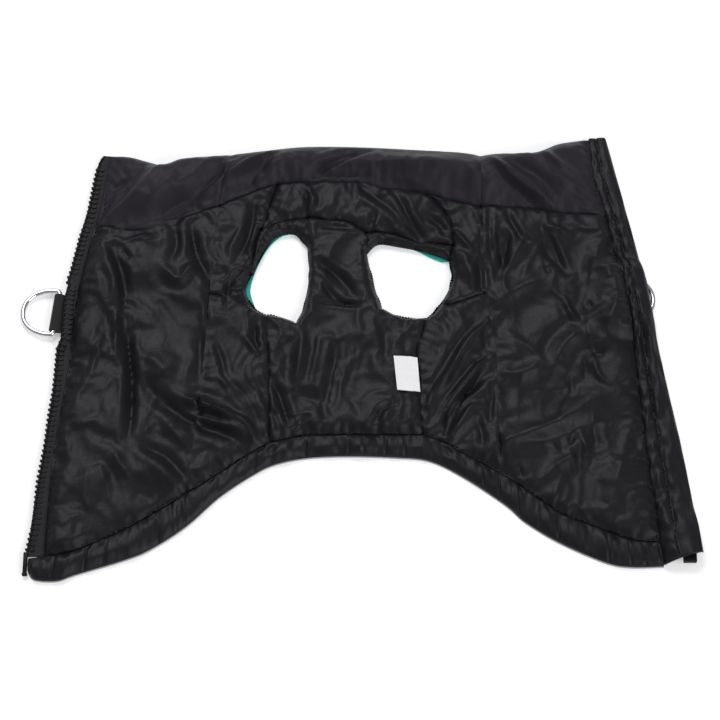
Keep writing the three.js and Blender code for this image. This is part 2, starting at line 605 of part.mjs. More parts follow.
// Points spaced evenly along a chain.
function evenly(points, steps) {
  const chain = new THREE.CurvePath();
  points.slice(1).forEach((point, i) => chain.add(new THREE.LineCurve(points[i], point)));
  return chain.getSpacedPoints(steps);
}

// Casing at the hem, gathered by the cord inside it, and the pale strip sewn under its outer half.
const hemSeam = [
  new THREE.Vector2(-186.3, -126.6),
  ...run(['hemA', 'hemB', 'hemC', 'hemD', 'hemE'], 4),
];
const HEM_WAVES = 54;
add('hem_casing', strip(evenly(hemSeam, 4 * HEM_WAVES), stations(edge.hem, 4 * HEM_WAVES), (t) => {
  const wave = gathers(t, HEM_WAVES, 1);
  return [
    [0.025, 1.1], [0.025, 2.6], [0.3, 5 + 0.9 * wave], [0.7, 5.2 + 0.6 * wave],
    [0.98, 2.4 + 0.3 * wave], [0.98, 1.1],
  ];
}), finish.lining);
add('hem_trim', strip(evenly(hemSeam, 64), stations(edge.hem, 64), () => (
  [[0.5, 0], [0.5, 0.8], [1.03, 0.8], [1.03, 0]]
)), finish.trim);

// Left half of the zip: its tape rises over the ring's tab.
const TAPE_WAVES = 26;
add('zip_tape_left', strip(
  evenly(run(['zipLow', 'zipTop'], 3), 4 * TAPE_WAVES),
  stations(edge.zip.toReversed(), 4 * TAPE_WAVES),
  (t, from, to) => {
    const inner = 0.25 / from.distanceTo(to);
    const over = 1 - step(Math.abs(from.y - ringLeft.y), 13, 27);
    const wave = 0.4 + 0.4 * gathers(t, TAPE_WAVES, 3);
    const low = TAPE_LOW + over;
    const rise = 1.8 * over + wave;
    const edgeLow = low + 1.8 * over;
    return [
      [inner, low], [inner, low + TAPE], [0.5, low + TAPE + rise], [1, edgeLow + TAPE], [1, edgeLow],
      [0.5, low + rise],
    ];
  },
), finish.tape);

// Right half of the zip: the tape, the slider at its lower end, and the padded guard over both.
const GUARD_WAVES = 28;
const guardInner = evenly(run(['guardFoot', 'guardLow', 'guardTop'], 3), 4 * GUARD_WAVES);
const guardOuter = stations(edge.guard.toReversed(), 4 * GUARD_WAVES);
const TAPE_END = 0.63;
const overSlider = (point) => 1 - step(point.y, -110, -92);
const overRing = (point) => Math.max(0, lift(point.x, point.y) - SHELL);
const cordRight = guardInner.map((point, k) => {
  const cord = point.clone().lerp(guardOuter[k], TAPE_END);
  return cord.setY(Math.max(cord.y, SLIDER.y - SLIDER.length / 2 + 1.2));
});
add('zip_tape_right', strip(guardInner, cordRight, (t, from, to) => {
  const inner = 0.25 / from.distanceTo(to);
  return [[inner, 0], [inner, TAPE], [1, TAPE], [1, 0]].map(([across, z]) => {
    const point = from.clone().lerp(to, across);
    return [across, TAPE_LOW + z + overRing(point) + 3.6 * overSlider(point) * across];
  });
}), finish.tape);
add('zip_guard', strip(guardInner, guardOuter, (t, from, to) => {
  const wave = gathers(t, GUARD_WAVES, 5);
  const rows = [
    [0.01, 2.9, 0], [0.01, 4.2, 0], [0.2, 5.9 + 0.7 * wave, 2.2], [0.4, 4.5 + 0.3 * wave, 4.4],
    [0.7, 5.9 + 0.8 * wave, 4.5], [0.99, 3 + 0.3 * wave, 5.4], [0.99, 1.2, 4.8], [0.93, 2.6, 5.2],
    [0.47, 3.1, 4.8],
  ];
  return rows.map(([across, z, gain]) => {
    const point = from.clone().lerp(to, across);
    return [across, z + overRing(point) + gain * overSlider(point)];
  });
}), finish.lining);

// Zip hardware, from boxes given by their lowest and highest corners.
function block(low, high) {
  const size = high.map((value, i) => value - low[i]);
  return new THREE.BoxGeometry(...size).translate(...low.map((value, i) => value + size[i] / 2));
}

function welded(geometry) {
  geometry.deleteAttribute('uv');
  geometry.deleteAttribute('normal');
  return mergeVertices(geometry, 1e-4);
}

function bodyOf(geometry) {
  const { attributes, index } = welded(geometry);
  return new wasm.Manifold(new wasm.Mesh({
    numProp: 3, vertProperties: attributes.position.array, triVerts: new Uint32Array(index.array),
  }));
}

function geometryOf(body) {
  const mesh = body.getMesh();
  const geometry = new THREE.BufferGeometry();
  geometry.setAttribute('position', new THREE.BufferAttribute(mesh.vertProperties, 3));
  geometry.setIndex(new THREE.BufferAttribute(mesh.triVerts, 1));
  return geometry;
}

add('zip_pin', new THREE.BoxGeometry(PIN.width, PIN.length, PIN.thick), finish.acetal)
  .position.set(PIN.x, PIN.y, TAPE_LOW + TAPE / 2);

// Slider in its own frame: z is 0 at the underside of its lower plate, +y is its open front.
const side = SLIDER.width / 2;
const end = SLIDER.length / 2;
const upper = SLIDER.plate + SLIDER.channel;
const arch = ARCH.width / 2;
const foot = ARCH.length / 2;
const lower = bodyOf(block([-side, -end, 0], [side, end, SLIDER.plate]));
const slider = [
  block([-side, -end, upper], [side, end, upper + SLIDER.plate]),
  block([-0.9, end - 4, 0.4], [0.9, end, upper + 0.4]),
  block([side - 0.9, -end, 0.4], [side, end - 3, upper + 0.4]),
  block([-arch, -foot, -ARCH.height], [arch, foot, ARCH.thick - ARCH.height]),
  block([-arch, -foot, -ARCH.height], [arch, ARCH.thick - foot, 0.4]),
  block([-arch, foot - ARCH.thick, -ARCH.height], [arch, foot, 0.4]),
].reduce((body, geometry) => body.add(bodyOf(geometry)), lower);
add('zip_slider', geometryOf(slider), finish.acetal).position.set(SLIDER.x, SLIDER.y, SLIDER.floor);
const boxEnd = -GAP - BOX.neckLength;
const boxBody = bodyOf(block([-BOX.width / 2, boxEnd - BOX.length, 0], [BOX.width / 2, boxEnd, BOX.thick]));
const boxNeck = bodyOf(block([BOX.width / 2 - BOX.neck, boxEnd - 1, 0], [BOX.width / 2, -GAP, BOX.thick]));
add('zip_box', geometryOf(boxBody.add(boxNeck)), finish.acetal)
  .position.set(SLIDER.x, SLIDER.y - end, SLIDER.floor + upper / 2 - 1.1);

// Pull tab, hung by its end bar in the slider's arch: the bar is its x axis.
const bar = PULL.thick / 2;
const wide = PULL.width / 2;
const plate = block([-wide, -bar, -bar], [wide, PULL.length - bar, bar]);
const opening = block([PULL.arm - wide, bar, -1], [wide - PULL.arm, bar + PULL.window, 1]);
const pull = bodyOf(plate).subtract(bodyOf(opening));
const pullTab = add('zip_pull_tab', geometryOf(pull), finish.acetal);
pullTab.position.set(SLIDER.x, PULL.y, PULL.z);
pullTab.rotation.x = -Math.asin((PULL.z - bar - 0.05) / (PULL.length - bar));

// Webbing loop round a ring's bar: its section, with the bar at 0, 0 and the tail along +x.
function ringTab(reach) {
  const turn = (degrees, radius) => {
    const angle = THREE.MathUtils.degToRad(degrees);
    return new THREE.Vector2(radius * Math.cos(angle), radius * Math.sin(angle));
  };
  const around = [50, 75, 100, 130, 160, 190, 220, 250, 270].map((degrees) => turn(degrees, BAR_HEIGHT));
  const section = new THREE.Shape([
    new THREE.Vector2(reach, -BAR_HEIGHT), new THREE.Vector2(reach, TAIL - BAR_HEIGHT),
    new THREE.Vector2(7.5, TAIL - BAR_HEIGHT), ...around,
  ]);
  const eye = Array.from({ length: 16 }, (_, i) => turn(-22.5 * i, WIRE + GAP));
  section.holes.push(new THREE.Path(eye));
  const loop = new THREE.ExtrudeGeometry(section, { depth: TAB_WIDTH, bevelEnabled: false });
  return welded(loop.translate(0, 0, -TAB_WIDTH / 2).rotateX(Math.PI / 2));
}

// D-ring with its straight bar on the y axis and its bow towards +x.
function dRing() {
  const half = RING_INSIDE / 2 + WIRE;
  const turn = 2.7;
  const at = (x, y) => new THREE.Vector3(x, y, 0);
  const path = new THREE.CurvePath();
  path.add(new THREE.LineCurve3(at(0, turn - half), at(0, half - turn)));
  const top = at(RING_REACH, 0);
  path.add(new THREE.QuadraticBezierCurve3(at(0, half - turn), at(0, half), at(turn, half)));
  path.add(new THREE.CubicBezierCurve3(at(turn, half), at(13, half), at(RING_REACH, 8.5), top));
  path.add(new THREE.CubicBezierCurve3(top, at(RING_REACH, -8.5), at(13, -half), at(turn, -half)));
  path.add(new THREE.QuadraticBezierCurve3(at(turn, -half), at(0, -half), at(0, turn - half)));
  return welded(new THREE.TubeGeometry(path, 40, WIRE, 8, true));
}

// Each ring is tipped about its bar until its bow lies on the table.
const tip = Math.asin((BAR_HEIGHT - WIRE) / RING_REACH);
for (const [name, place] of Object.entries({ left: ringLeft, right: ringRight })) {
  const set = new THREE.Group();
  set.position.set(place.x, place.y, BAR_HEIGHT);
  set.rotation.z = THREE.MathUtils.degToRad(place.turn);
  const tab = new THREE.Mesh(ringTab(place.tail), finish.webbing);
  tab.name = `ring_tab_${name}`;
  tab.rotation.z = Math.PI;
  const ring = new THREE.Mesh(dRing(), finish.chrome);
  ring.name = `d_ring_${name}`;
  ring.rotation.y = tip;
  coat.add(set.add(tab, ring));
}

// Size label, bare, laid over the chest panel's padding.
const labelEnds = { top: [[19.5, -3.5], [33.3, -4.1]], bottom: [[21.5, -25.2], [34.8, -25.9]] };
const label = pattern([{
  bottom: stations(labelEnds.bottom, 3), top: stations(labelEnds.top, 3),
  left: stations([labelEnds.bottom[0], labelEnds.top[0]], 5),
  right: stations([labelEnds.bottom[1], labelEnds.top[1]], 5),
}]);
const around = [-4, 0, 4];
const underLabel = (x, y) => {
  const heights = around.flatMap((dx) => around.map((dy) => overLining(x + dx, y + dy)));
  return GAP + Math.max(...heights);
};
const overLabel = (x, y) => underLabel(x, y) + LABEL_THICK;
add('size_label', clothWall(label, underLabel, overLabel, false), finish.label);

// The origin is on the table, under the middle of the coat.
const extent = new THREE.Box3().setFromObject(coat, true);
const middle = extent.getCenter(new THREE.Vector3());
coat.position.set(-middle.x, -middle.y, -extent.min.z);

export default coat;
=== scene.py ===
# Visual model of a dog's padded winter coat, unzipped and laid open on a table with its lining up.
import math

import bmesh
import bpy
import numpy as np
from mathutils import Matrix, Vector, kdtree, noise


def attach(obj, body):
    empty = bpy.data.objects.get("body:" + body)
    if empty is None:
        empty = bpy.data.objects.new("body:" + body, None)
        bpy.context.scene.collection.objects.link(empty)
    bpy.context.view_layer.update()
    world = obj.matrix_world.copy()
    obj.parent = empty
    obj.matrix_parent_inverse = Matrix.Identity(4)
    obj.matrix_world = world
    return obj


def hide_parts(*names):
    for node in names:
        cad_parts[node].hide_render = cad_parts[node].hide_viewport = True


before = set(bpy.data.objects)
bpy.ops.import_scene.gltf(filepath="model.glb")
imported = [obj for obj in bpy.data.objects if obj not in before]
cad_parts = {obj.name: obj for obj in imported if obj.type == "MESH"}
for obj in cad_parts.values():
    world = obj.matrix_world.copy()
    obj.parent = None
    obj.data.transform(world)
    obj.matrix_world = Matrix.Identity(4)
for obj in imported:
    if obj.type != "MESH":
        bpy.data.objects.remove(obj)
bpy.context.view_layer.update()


# Table and light. The coat lies on a plain white sheet under wide soft lamps, and was photographed
# through a long lens from 1.5 m away, 65 degrees above the table.
def linear(colour):
    """An sRGB hex colour as the linear colour that a shader takes."""
    parts = [int(colour[i:i + 2], 16) / 255 for i in (1, 3, 5)]
    return [p / 12.92 if p <= 0.04045 else ((p + 0.055) / 1.055) ** 2.4 for p in parts] + [1.0]


def new_material(name):
    """An empty material, with its shader and its output joined."""
    material = bpy.data.materials.new(name)
    material.use_nodes = True
    material.node_tree.nodes.clear()
    shader = material.node_tree.nodes.new("ShaderNodeBsdfPrincipled")
    output = material.node_tree.nodes.new("ShaderNodeOutputMaterial")
    material.node_tree.links.new(shader.outputs[0], output.inputs[0])
    return material, shader


def add_node(material, kind, settings=(), inputs=()):
    """Adds a node with its settings and with what goes into its sockets, and returns it."""
    made = material.node_tree.nodes.new("ShaderNode" + kind)
    for key, value in dict(settings).items():
        setattr(made, key, value)
    join(material, made, inputs)
    return made


def join(material, made, inputs):
    """Links sockets into a node, or sets its sockets' own values."""
    for key, value in dict(inputs).items():
        if isinstance(value, bpy.types.NodeSocket):
            material.node_tree.links.new(value, made.inputs[key])
        else:
            made.inputs[key].default_value = value


def add_object(name, points, faces, material, smooth=True):
    """A mesh object from points in metres."""
    mesh = bpy.data.meshes.new(name)
    mesh.from_pydata([tuple(p) for p in points], [], [tuple(int(i) for i in f) for f in faces])
    mesh.materials.append(material)
    mesh.polygons.foreach_set("use_smooth", [smooth] * len(mesh.polygons))
    mesh.validate()
    made = bpy.data.objects.new(name, mesh)
    bpy.context.scene.collection.objects.link(made)
    return made


camera = bpy.data.objects.new("camera", bpy.data.cameras.new("camera"))
bpy.context.scene.collection.objects.link(camera)
camera.data.lens = 128
camera.data.sensor_width = 36
view_height = math.radians(65)
view_target = Vector((0.003620, -0.002416, -0.0039))
camera.location = view_target + 1.5 * Vector((0, -math.cos(view_height), math.sin(view_height)))
camera.rotation_euler = (math.pi / 2 - view_height, 0, 0)
bpy.context.scene.camera = camera
bpy.context.scene.view_settings.view_transform = "Standard"

# White acrylic of a light table: matt and lit from below, so it stays white right up to the coat.
acrylic, shader = new_material("white acrylic")
grain = add_node(acrylic, "TexNoise", {}, {"Scale": 900.0, "Detail": 2.0})
tone = add_node(acrylic, "MixRGB", {}, {
    "Fac": grain.outputs["Fac"], "Color1": linear("#fbfbfb"), "Color2": linear("#ffffff"),
})
join(acrylic, shader, {
    "Base Color": tone.outputs[0], "Roughness": 0.6, "Specular IOR Level": 0.2,
    "Emission Color": linear("#ffffff"), "Emission Strength": 0.3,
})
half_table = 2.2
table = add_object(
    "table_top",
    [(x, y, -0.0002) for x, y in ((-half_table, -half_table), (half_table, -half_table),
                                  (half_table, half_table), (-half_table, half_table))],
    [(0, 1, 2, 3)], acrylic,
)

world = bpy.data.worlds.new("studio")
world.use_nodes = True
world.node_tree.nodes["Background"].inputs["Color"].default_value = linear("#ffffff")
world.node_tree.nodes["Background"].inputs["Strength"].default_value = 0.31
bpy.context.scene.world = world


def add_lamp(name, place, size, watts):
    """A square soft lamp that faces the coat."""
    lamp = bpy.data.objects.new(name, bpy.data.lights.new(name, "AREA"))
    lamp.data.size = size
    lamp.data.energy = watts
    lamp.data.color = (0.975, 0.96, 1.0)
    lamp.location = place
    lamp.rotation_euler = (-Vector(place)).to_track_quat("-Z", "Y").to_euler()
    bpy.context.scene.collection.objects.link(lamp)


add_lamp("lamp_behind", (-0.45, 1.3, 1.75), 1.15, 23)
add_lamp("lamp_front", (1.5, -1.3, 1.3), 1.4, 26)


# Outer shell. The real one is teal woven polyester, one layer under the whole coat. It is sewn to the
# lining all round and turned under at the two leg holes, where a narrow rim of it shows.
# The pattern's corners, its seams from corner to corner, and the cells along each seam, in millimetres, as
# the coat lies on the table.
corners = {
    "neckLeft": (-150.5, 133), "neckSideLeft": (-78, 133.8), "neckSideRight": (72.8, 133.2),
    "neckRight": (138.8, 144.2), "facingLeft": (-159, 83), "facingSideLeft": (-84, 97.8),
    "yokeLeft": (-49.5, 112.6), "yokeRight": (39.5, 105.5), "facingSideRight": (72.3, 97.2),
    "facingRight": (147, 91.5), "hemLeft": (-178, -125.3), "hemSideLeft": (-98.8, -86.9),
    "hemChestLeft": (-52.3, -55.8), "hemChestRight": (35.8, -50.6), "hemSideRight": (81, -74.8),
    "hemRight": (169, -116.5), "tuckLeft": (-88.4, 38.5), "tuckRight": (73, 39),
    "holeSideLeft": (-61.2, 29.5), "holeSideRight": (47, 33.5), "holeYokeLeft": (-59, 82),
    "holeYokeRight": (55.5, 71), "strapTopLeft": (-31.3, 89.8), "strapTopRight": (3.5, 79.5),
    "bandLeft": (-31.4, 71), "bandRight": (4.2, 66.5), "holeFootLeft": (-37.6, 21),
    "holeFootRight": (13, 30.5), "chestLeft": (-55.5, 26.3), "chestRight": (39.5, 24.4),
    "bandStartLeft": (-65.2, 52), "bandEndRight": (53.3, 62.5),
}
seams = {
    "neckA": [
        "neckLeft", (-139, 132.2), (-127, 128.6), (-119, 126.8), (-109, 130.5), (-98, 132.4),
        "neckSideLeft",
    ],
    "neckB": [
        "neckSideLeft", (-60, 136.4), (-33, 139.4), (0, 139.2), (30, 137.6), (60, 135.6),
        "neckSideRight",
    ],
    "neckC": ["neckSideRight", (84, 134.8), (106, 135.8), (121, 141.6), "neckRight"],
    "facingA": [
        "facingLeft", (-151, 84.3), (-136, 81.3), (-121, 84), (-107, 90.4), "facingSideLeft",
    ],
    "facingB": ["facingSideLeft", (-66, 106.7), "yokeLeft"],
    "facingC": ["yokeLeft", (-30, 114.4), (-4, 114), (12, 111), (25, 109.3), "yokeRight"],
    "facingD": ["yokeRight", (55, 101.4), "facingSideRight"],
    "facingE": ["facingSideRight", (84, 97.6), (102, 96.5), (120, 93.2), "facingRight"],
    "zipLow": [
        "hemLeft", (-177.2, -94), (-175.9, -63), (-172.4, -32), (-169.4, -5), (-168.7, 20),
        (-166.8, 40), (-163, 60), "facingLeft",
    ],
    "zipTop": ["facingLeft", (-155.3, 95), (-152.8, 116), "neckLeft"],
    "guardLow": [
        "hemRight", (167.6, -94), (165.3, -74), (162, -30), (160.6, -6), (159.2, 14), (156.6, 36),
        (151.2, 67), "facingRight",
    ],
    "guardTop": ["facingRight", (144.6, 101.3), (140.8, 118.4), "neckRight"],
    "sideLowLeft": ["hemSideLeft", (-95, -52), (-92.6, -28), (-90.5, 4), "tuckLeft"],
    "sideTopLeft": ["tuckLeft", (-87.4, 69), "facingSideLeft"],
    "sideLowRight": ["hemSideRight", (79.6, -35), (79.4, 0), (76.8, 18), "tuckRight"],
    "sideTopRight": ["tuckRight", (71.6, 70), "facingSideRight"],
    "collarLeft": ["facingSideLeft", (-81.4, 115), "neckSideLeft"],
    "collarRight": ["facingSideRight", (72.4, 115), "neckSideRight"],
    "hemA": [
        "hemLeft", (-163.4, -122.6), (-152.4, -118), (-138, -111.4), (-120, -101), "hemSideLeft",
    ],
    "hemB": ["hemSideLeft", (-80, -74.2), (-65, -63.5), "hemChestLeft"],
    "hemC": ["hemChestLeft", (-34, -51.6), (-14, -50.8), (12, -50.8), "hemChestRight"],
    "hemD": ["hemChestRight", (46, -54.4), (60, -62.6), "hemSideRight"],
    "hemE": [
        "hemSideRight", (93, -83.5), (106, -93.5), (117, -100.7), (133, -107), (152, -114.8),
        "hemRight",
    ],
    "tuckLeft": ["tuckLeft", (-75, 35.5), "holeSideLeft"],
    "tuckRight": ["holeSideRight", (52, 31.3), (60, 33.8), "tuckRight"],
    "yokeEndLeft": ["holeYokeLeft", (-56.3, 87), (-53.5, 99), "yokeLeft"],
    "yokeEndRight": ["holeYokeRight", (54, 86), (47, 98), "yokeRight"],
    "yokeA": ["holeYokeLeft", (-54, 84.2), (-48, 87), "strapTopLeft"],
    "yokeB": ["strapTopLeft", (-20, 88.2), (-8, 87), "strapTopRight"],
    "yokeC": ["strapTopRight", (17, 79.2), (30, 74.9), (44, 72.6), "holeYokeRight"],
    "princessLeft": ["hemChestLeft", (-52.4, -30), (-52.8, -10), "chestLeft"],
    "princessRight": ["hemChestRight", (34.6, -20), (32.8, 0), (35.4, 10), "chestRight"],
    "holeLowLeft": ["holeSideLeft", (-65.3, 35), (-67.4, 43), "bandStartLeft"],
    "holeTopLeft": ["bandStartLeft", (-63, 64), (-61.8, 74), "holeYokeLeft"],
    "holeLowRight": ["holeSideRight", (51.2, 40), (54.6, 49), (54.3, 55), "bandEndRight"],
    "holeTopRight": ["bandEndRight", (54.2, 67), "holeYokeRight"],
    "strapEdgeLeft": ["holeFootLeft", (-33.5, 30), (-30.8, 45), (-30.2, 58), "bandLeft"],
    "strapEdgeRight": ["holeFootRight", (9.5, 41), (7.3, 50), (5.2, 60), "bandRight"],
    "bandSideLeft": ["bandLeft", (-30.7, 80), "strapTopLeft"],
    "bandSideRight": ["bandRight", (4.4, 73.4), "strapTopRight"],
    "holeFootLeft": ["holeSideLeft", (-58.7, 27.4), "chestLeft"],
    "holeFootRight": ["chestRight", (44, 27.8), "holeSideRight"],
    "holeChestLeft": ["chestLeft", (-46, 24.3), "holeFootLeft"],
    "holeChestRight": ["holeFootRight", (20, 26.3), (30, 23.8), "chestRight"],
    "bandEdgeLeft": [
        (-63.2, 52.6), (-60.4, 61), (-57, 68), (-53, 74.6), (-48.6, 78.6), (-39, 79.6), "bandLeft",
    ],
    "bandEdgeRight": ["bandRight", (11, 73), (24, 71.2), (38, 68), "bandEndRight"],
    "bandTipLeft": [(-63.2, 52.6), (-64.2, 52.5), "bandStartLeft"],
    "guardFoot": [(171.4, -130.2), "hemRight"],
    "strapFoot": ["holeFootLeft", "holeFootRight"],
}
seams = {
    name: [corners[point] if isinstance(point, str) else point for point in run]
    for name, run in seams.items()
}
cells = {
    "neckA": 10, "neckB": 22, "neckC": 11, "facingA": 10, "facingB": 4, "facingC": 14, "facingD": 4,
    "facingE": 11, "hemA": 10, "hemB": 6, "hemC": 12, "hemD": 6, "hemE": 11, "zipLow": 25, "zipTop": 7,
    "guardLow": 24, "guardTop": 7, "guardFoot": 2, "sideLowLeft": 14, "sideTopLeft": 11,
    "sideLowRight": 14, "sideTopRight": 10, "collarLeft": 7, "collarRight": 7, "princessLeft": 14,
    "princessRight": 14, "tuckLeft": 4, "tuckRight": 4, "yokeEndLeft": 4, "yokeEndRight": 4, "yokeA": 3,
    "yokeB": 5, "yokeC": 6, "holeLowLeft": 3, "holeTopLeft": 4, "holeLowRight": 4, "holeTopRight": 2,
    "holeFootLeft": 2, "holeFootRight": 2, "holeChestLeft": 3, "holeChestRight": 4, "strapFoot": 5,
    "strapEdgeLeft": 7, "strapEdgeRight": 7, "bandSideLeft": 2, "bandSideRight": 2, "bandTipLeft": 2,
    "bandEdgeLeft": 7, "bandEdgeRight": 6,
}
middle = np.array([-3.6202, 2.4155])        # the pattern's point over the frame's origin
CLOTH_CELLS = 8        # grid cells along each cell of the pattern's seams


def between(before, here, after, beyond, w, pull):
    """Points at w, from 0 to 1, on the smooth curve from here to after."""
    leave, arrive = (after - before) * pull, (beyond - here) * pull
    return ((2 * here - 2 * after + leave + arrive) * w ** 3
            + (3 * after - 3 * here - 2 * leave - arrive) * w ** 2 + leave * w + here)


def smooth_line(points, steps):
    """Points spaced evenly along the smooth curve through these."""
    rows = np.array(points, float)
    last = len(rows) - 1
    at = np.linspace(0, last, 401)
    first = np.minimum(at.astype(int), last - 1)
    turns = (rows[np.maximum(first - 1, 0)], rows[first], rows[first + 1],
             rows[np.minimum(first + 2, last)])
    return evenly(between(*turns, (at - first)[:, None], 0.5), steps)


def length_of(chain):
    """The length of a chain of points."""
    return np.hypot(*np.diff(chain, axis=0).T).sum()


def evenly(chain, steps):
    """Points spaced evenly along a chain of points."""
    chain = np.array(chain, float)
    far = np.concatenate([[0], np.cumsum(np.hypot(*np.diff(chain, axis=0).T))])
    at = np.linspace(0, far[-1], steps + 1)
    return np.stack([np.interp(at, far, chain[:, 0]), np.interp(at, far, chain[:, 1])], axis=1)


def seam_run(names, finer):
    """Points along seams in turn. A minus sign runs a seam backwards."""
    out = []
    for name in names.split():
        plain = name.strip("-")
        points = smooth_line(seams[plain], cells[plain] * finer)
        points = points[::-1] if name[0] == "-" else points
        out.extend(points if not out else points[1:])
    return np.array(out)


def pattern(blocks, finer):
    """Points and four-sided cells of a piece. Each block is a grid drawn between four edges."""
    points, quads, found = [], [], {}

    def place(x, y):
        key = (round(x, 2), round(y, 2))
        if key not in found:
            found[key] = len(points)
            points.append((x, y))
        return found[key]

    for bottom, top, left, right in blocks:
        low, high, near, far = (seam_run(names, finer) for names in (bottom, top, left, right))
        u = np.linspace(0, 1, len(low))[None, :, None]
        v = np.linspace(0, 1, len(near))[:, None, None]
        grid = ((1 - v) * low[None] + v * high[None] + (1 - u) * near[:, None] + u * far[:, None]
                - (1 - u) * (1 - v) * low[0] - u * (1 - v) * low[-1]
                - (1 - u) * v * high[0] - u * v * high[-1])
        index = [[place(*p) for p in row] for row in grid]
        for j in range(len(near) - 1):
            for i in range(len(low) - 1):
                quads.append((index[j][i], index[j][i + 1], index[j + 1][i + 1], index[j + 1][i]))
    return np.array(points), quads


def outline_loops(quads):
    """The edges of a piece as loops of point numbers, with the cloth on their left."""
    edges = set()
    for quad in quads:
        edges.update(zip(quad, quad[1:] + quad[:1]))
    onward = {a: b for a, b in edges if (b, a) not in edges}
    loops = []
    while onward:
        at = min(onward)
        loop = []
        while at in onward:
            loop.append(at)
            at = onward.pop(at)
        loops.append(loop)
    return loops


def drawn_in(points, loops, amount):
    """The pattern with its outline drawn in by this much."""
    out = points.copy()
    for loop in loops:
        here = points[loop]
        ahead = np.roll(here, -1, axis=0) - here
        ahead /= np.maximum(np.hypot(*ahead.T), 1e-6)[:, None]
        turned = ahead + np.roll(ahead, 1, axis=0)
        inward = np.stack([-turned[:, 1], turned[:, 0]], axis=1)
        reach = np.maximum((inward ** 2).sum(axis=1) / 2, 0.5)[:, None]
        out[loop] += inward * amount / reach
    return out


def cloth_wall(name, points, quads, under, over, material, trim=0.02):
    """A closed piece of cloth between two heights over a pattern."""
    loops = outline_loops(quads)
    laid = drawn_in(points, loops, trim)
    top = np.column_stack([laid - middle, over(points)])
    base = np.column_stack([laid - middle, under(points)])
    count = len(points)
    faces = list(quads) + [tuple(i + count for i in reversed(quad)) for quad in quads]
    for loop in loops:
        for a, b in zip(loop, loop[1:] + loop[:1]):
            faces.append((b, a, a + count, b + count))
    made = add_object(name, np.vstack([top, base]) * 0.001, faces, material)
    made.data.set_sharp_from_angle(angle=math.radians(60))
    return made


def nearest(points, line):
    """How far each point is from a chain of points, and how far along the chain its nearest place is."""
    best = np.full(len(points), 1e6)
    along = np.zeros(len(points))
    start = 0.0
    for a, b in zip(line[:-1], line[1:]):
        way = b - a
        length = max(float(np.hypot(*way)), 1e-9)
        t = np.clip(((points - a) @ way) / length ** 2, 0, 1)
        off = np.hypot(points[:, 0] - a[0] - t * way[0], points[:, 1] - a[1] - t * way[1])
        closer = off < best
        best[closer] = off[closer]
        along[closer] = start + t[closer] * length
        start += length
    return best, along


def step(x, low, high):
    """Rises smoothly from 0 at low to 1 at high."""
    t = np.clip((np.asarray(x, float) - low) / (high - low), 0, 1)
    return t * t * (3 - 2 * t)


SHELL_THICK = 1.2
COLLAR_LIFT = 7.5
RING_BUMP = 7.0
ring_right_place = np.array([153.0, 36.6])
facing_line = seam_run("facingA facingB facingC facingD facingE", 2)
neck_line = seam_run("neckA neckB neckC", 2)


def lift(points):
    """How far the shell stands off the table: under the collar, and over the right ring's tab."""
    x, y = points[:, 0], points[:, 1]
    facing_y = np.interp(x, facing_line[:, 0], facing_line[:, 1])
    collar = COLLAR_LIFT * step(nearest(points, facing_line)[0], 0, 20)
    fall = 15 - 5 * step(np.abs(x), 55, 95)
    collar = collar * step(nearest(points, neck_line)[0] / fall, 0, 1) * step(x, -152, -116)
    collar = np.where(y > facing_y, collar * (1 - step(x, 112, 142)), 0)
    across = x - ring_right_place[0]
    over = step(across, -26, -5) * (1 - 0.35 * step(across, 6, 22))
    ring = RING_BUMP * over * (1 - step(np.abs(y - ring_right_place[1]), 16, 30))
    return np.maximum(collar, ring)


collar_blocks = {
    "neck_facing_left": [("facingA", "neckA", "zipTop", "collarLeft")],
    "neck_facing_centre": [("facingB facingC facingD", "neckB", "collarLeft", "collarRight")],
    "neck_facing_right": [("facingE", "neckC", "collarRight", "guardTop")],
}
back_blocks = {
    "back_lining_left": [("hemA", "facingA", "zipLow", "sideLowLeft sideTopLeft")],
    "back_lining_right": [("hemE", "facingE", "sideLowRight sideTopRight", "guardLow")],
}
side_blocks = {
    "side_upper_left": [
        ("tuckLeft", "facingB", "sideTopLeft", "holeLowLeft holeTopLeft yokeEndLeft"),
    ],
    "side_upper_right": [
        ("tuckRight", "facingD", "holeLowRight holeTopRight yokeEndRight", "sideTopRight"),
    ],
    "side_lower_left": [("hemB", "tuckLeft holeFootLeft", "sideLowLeft", "princessLeft")],
    "side_lower_right": [("hemD", "holeFootRight tuckRight", "princessRight", "sideLowRight")],
}
chest_blocks = {
    "chest_yoke": [("yokeA yokeB yokeC", "facingC", "yokeEndLeft", "yokeEndRight")],
    "chest_panel": [
        ("strapFoot", "yokeB", "strapEdgeLeft bandSideLeft", "strapEdgeRight bandSideRight"),
        ("hemC", "holeChestLeft strapFoot holeChestRight", "princessLeft", "princessRight"),
    ],
}
binding_blocks = {
    "hole_binding_left": [("bandEdgeLeft", "holeTopLeft yokeA", "bandTipLeft", "bandSideLeft")],
    "hole_binding_right": [("bandEdgeRight", "yokeC", "bandSideRight", "holeTopRight")],
}
whole_coat = [
    block for group in (collar_blocks, back_blocks, side_blocks, chest_blocks, binding_blocks)
    for blocks in group.values() for block in blocks
]
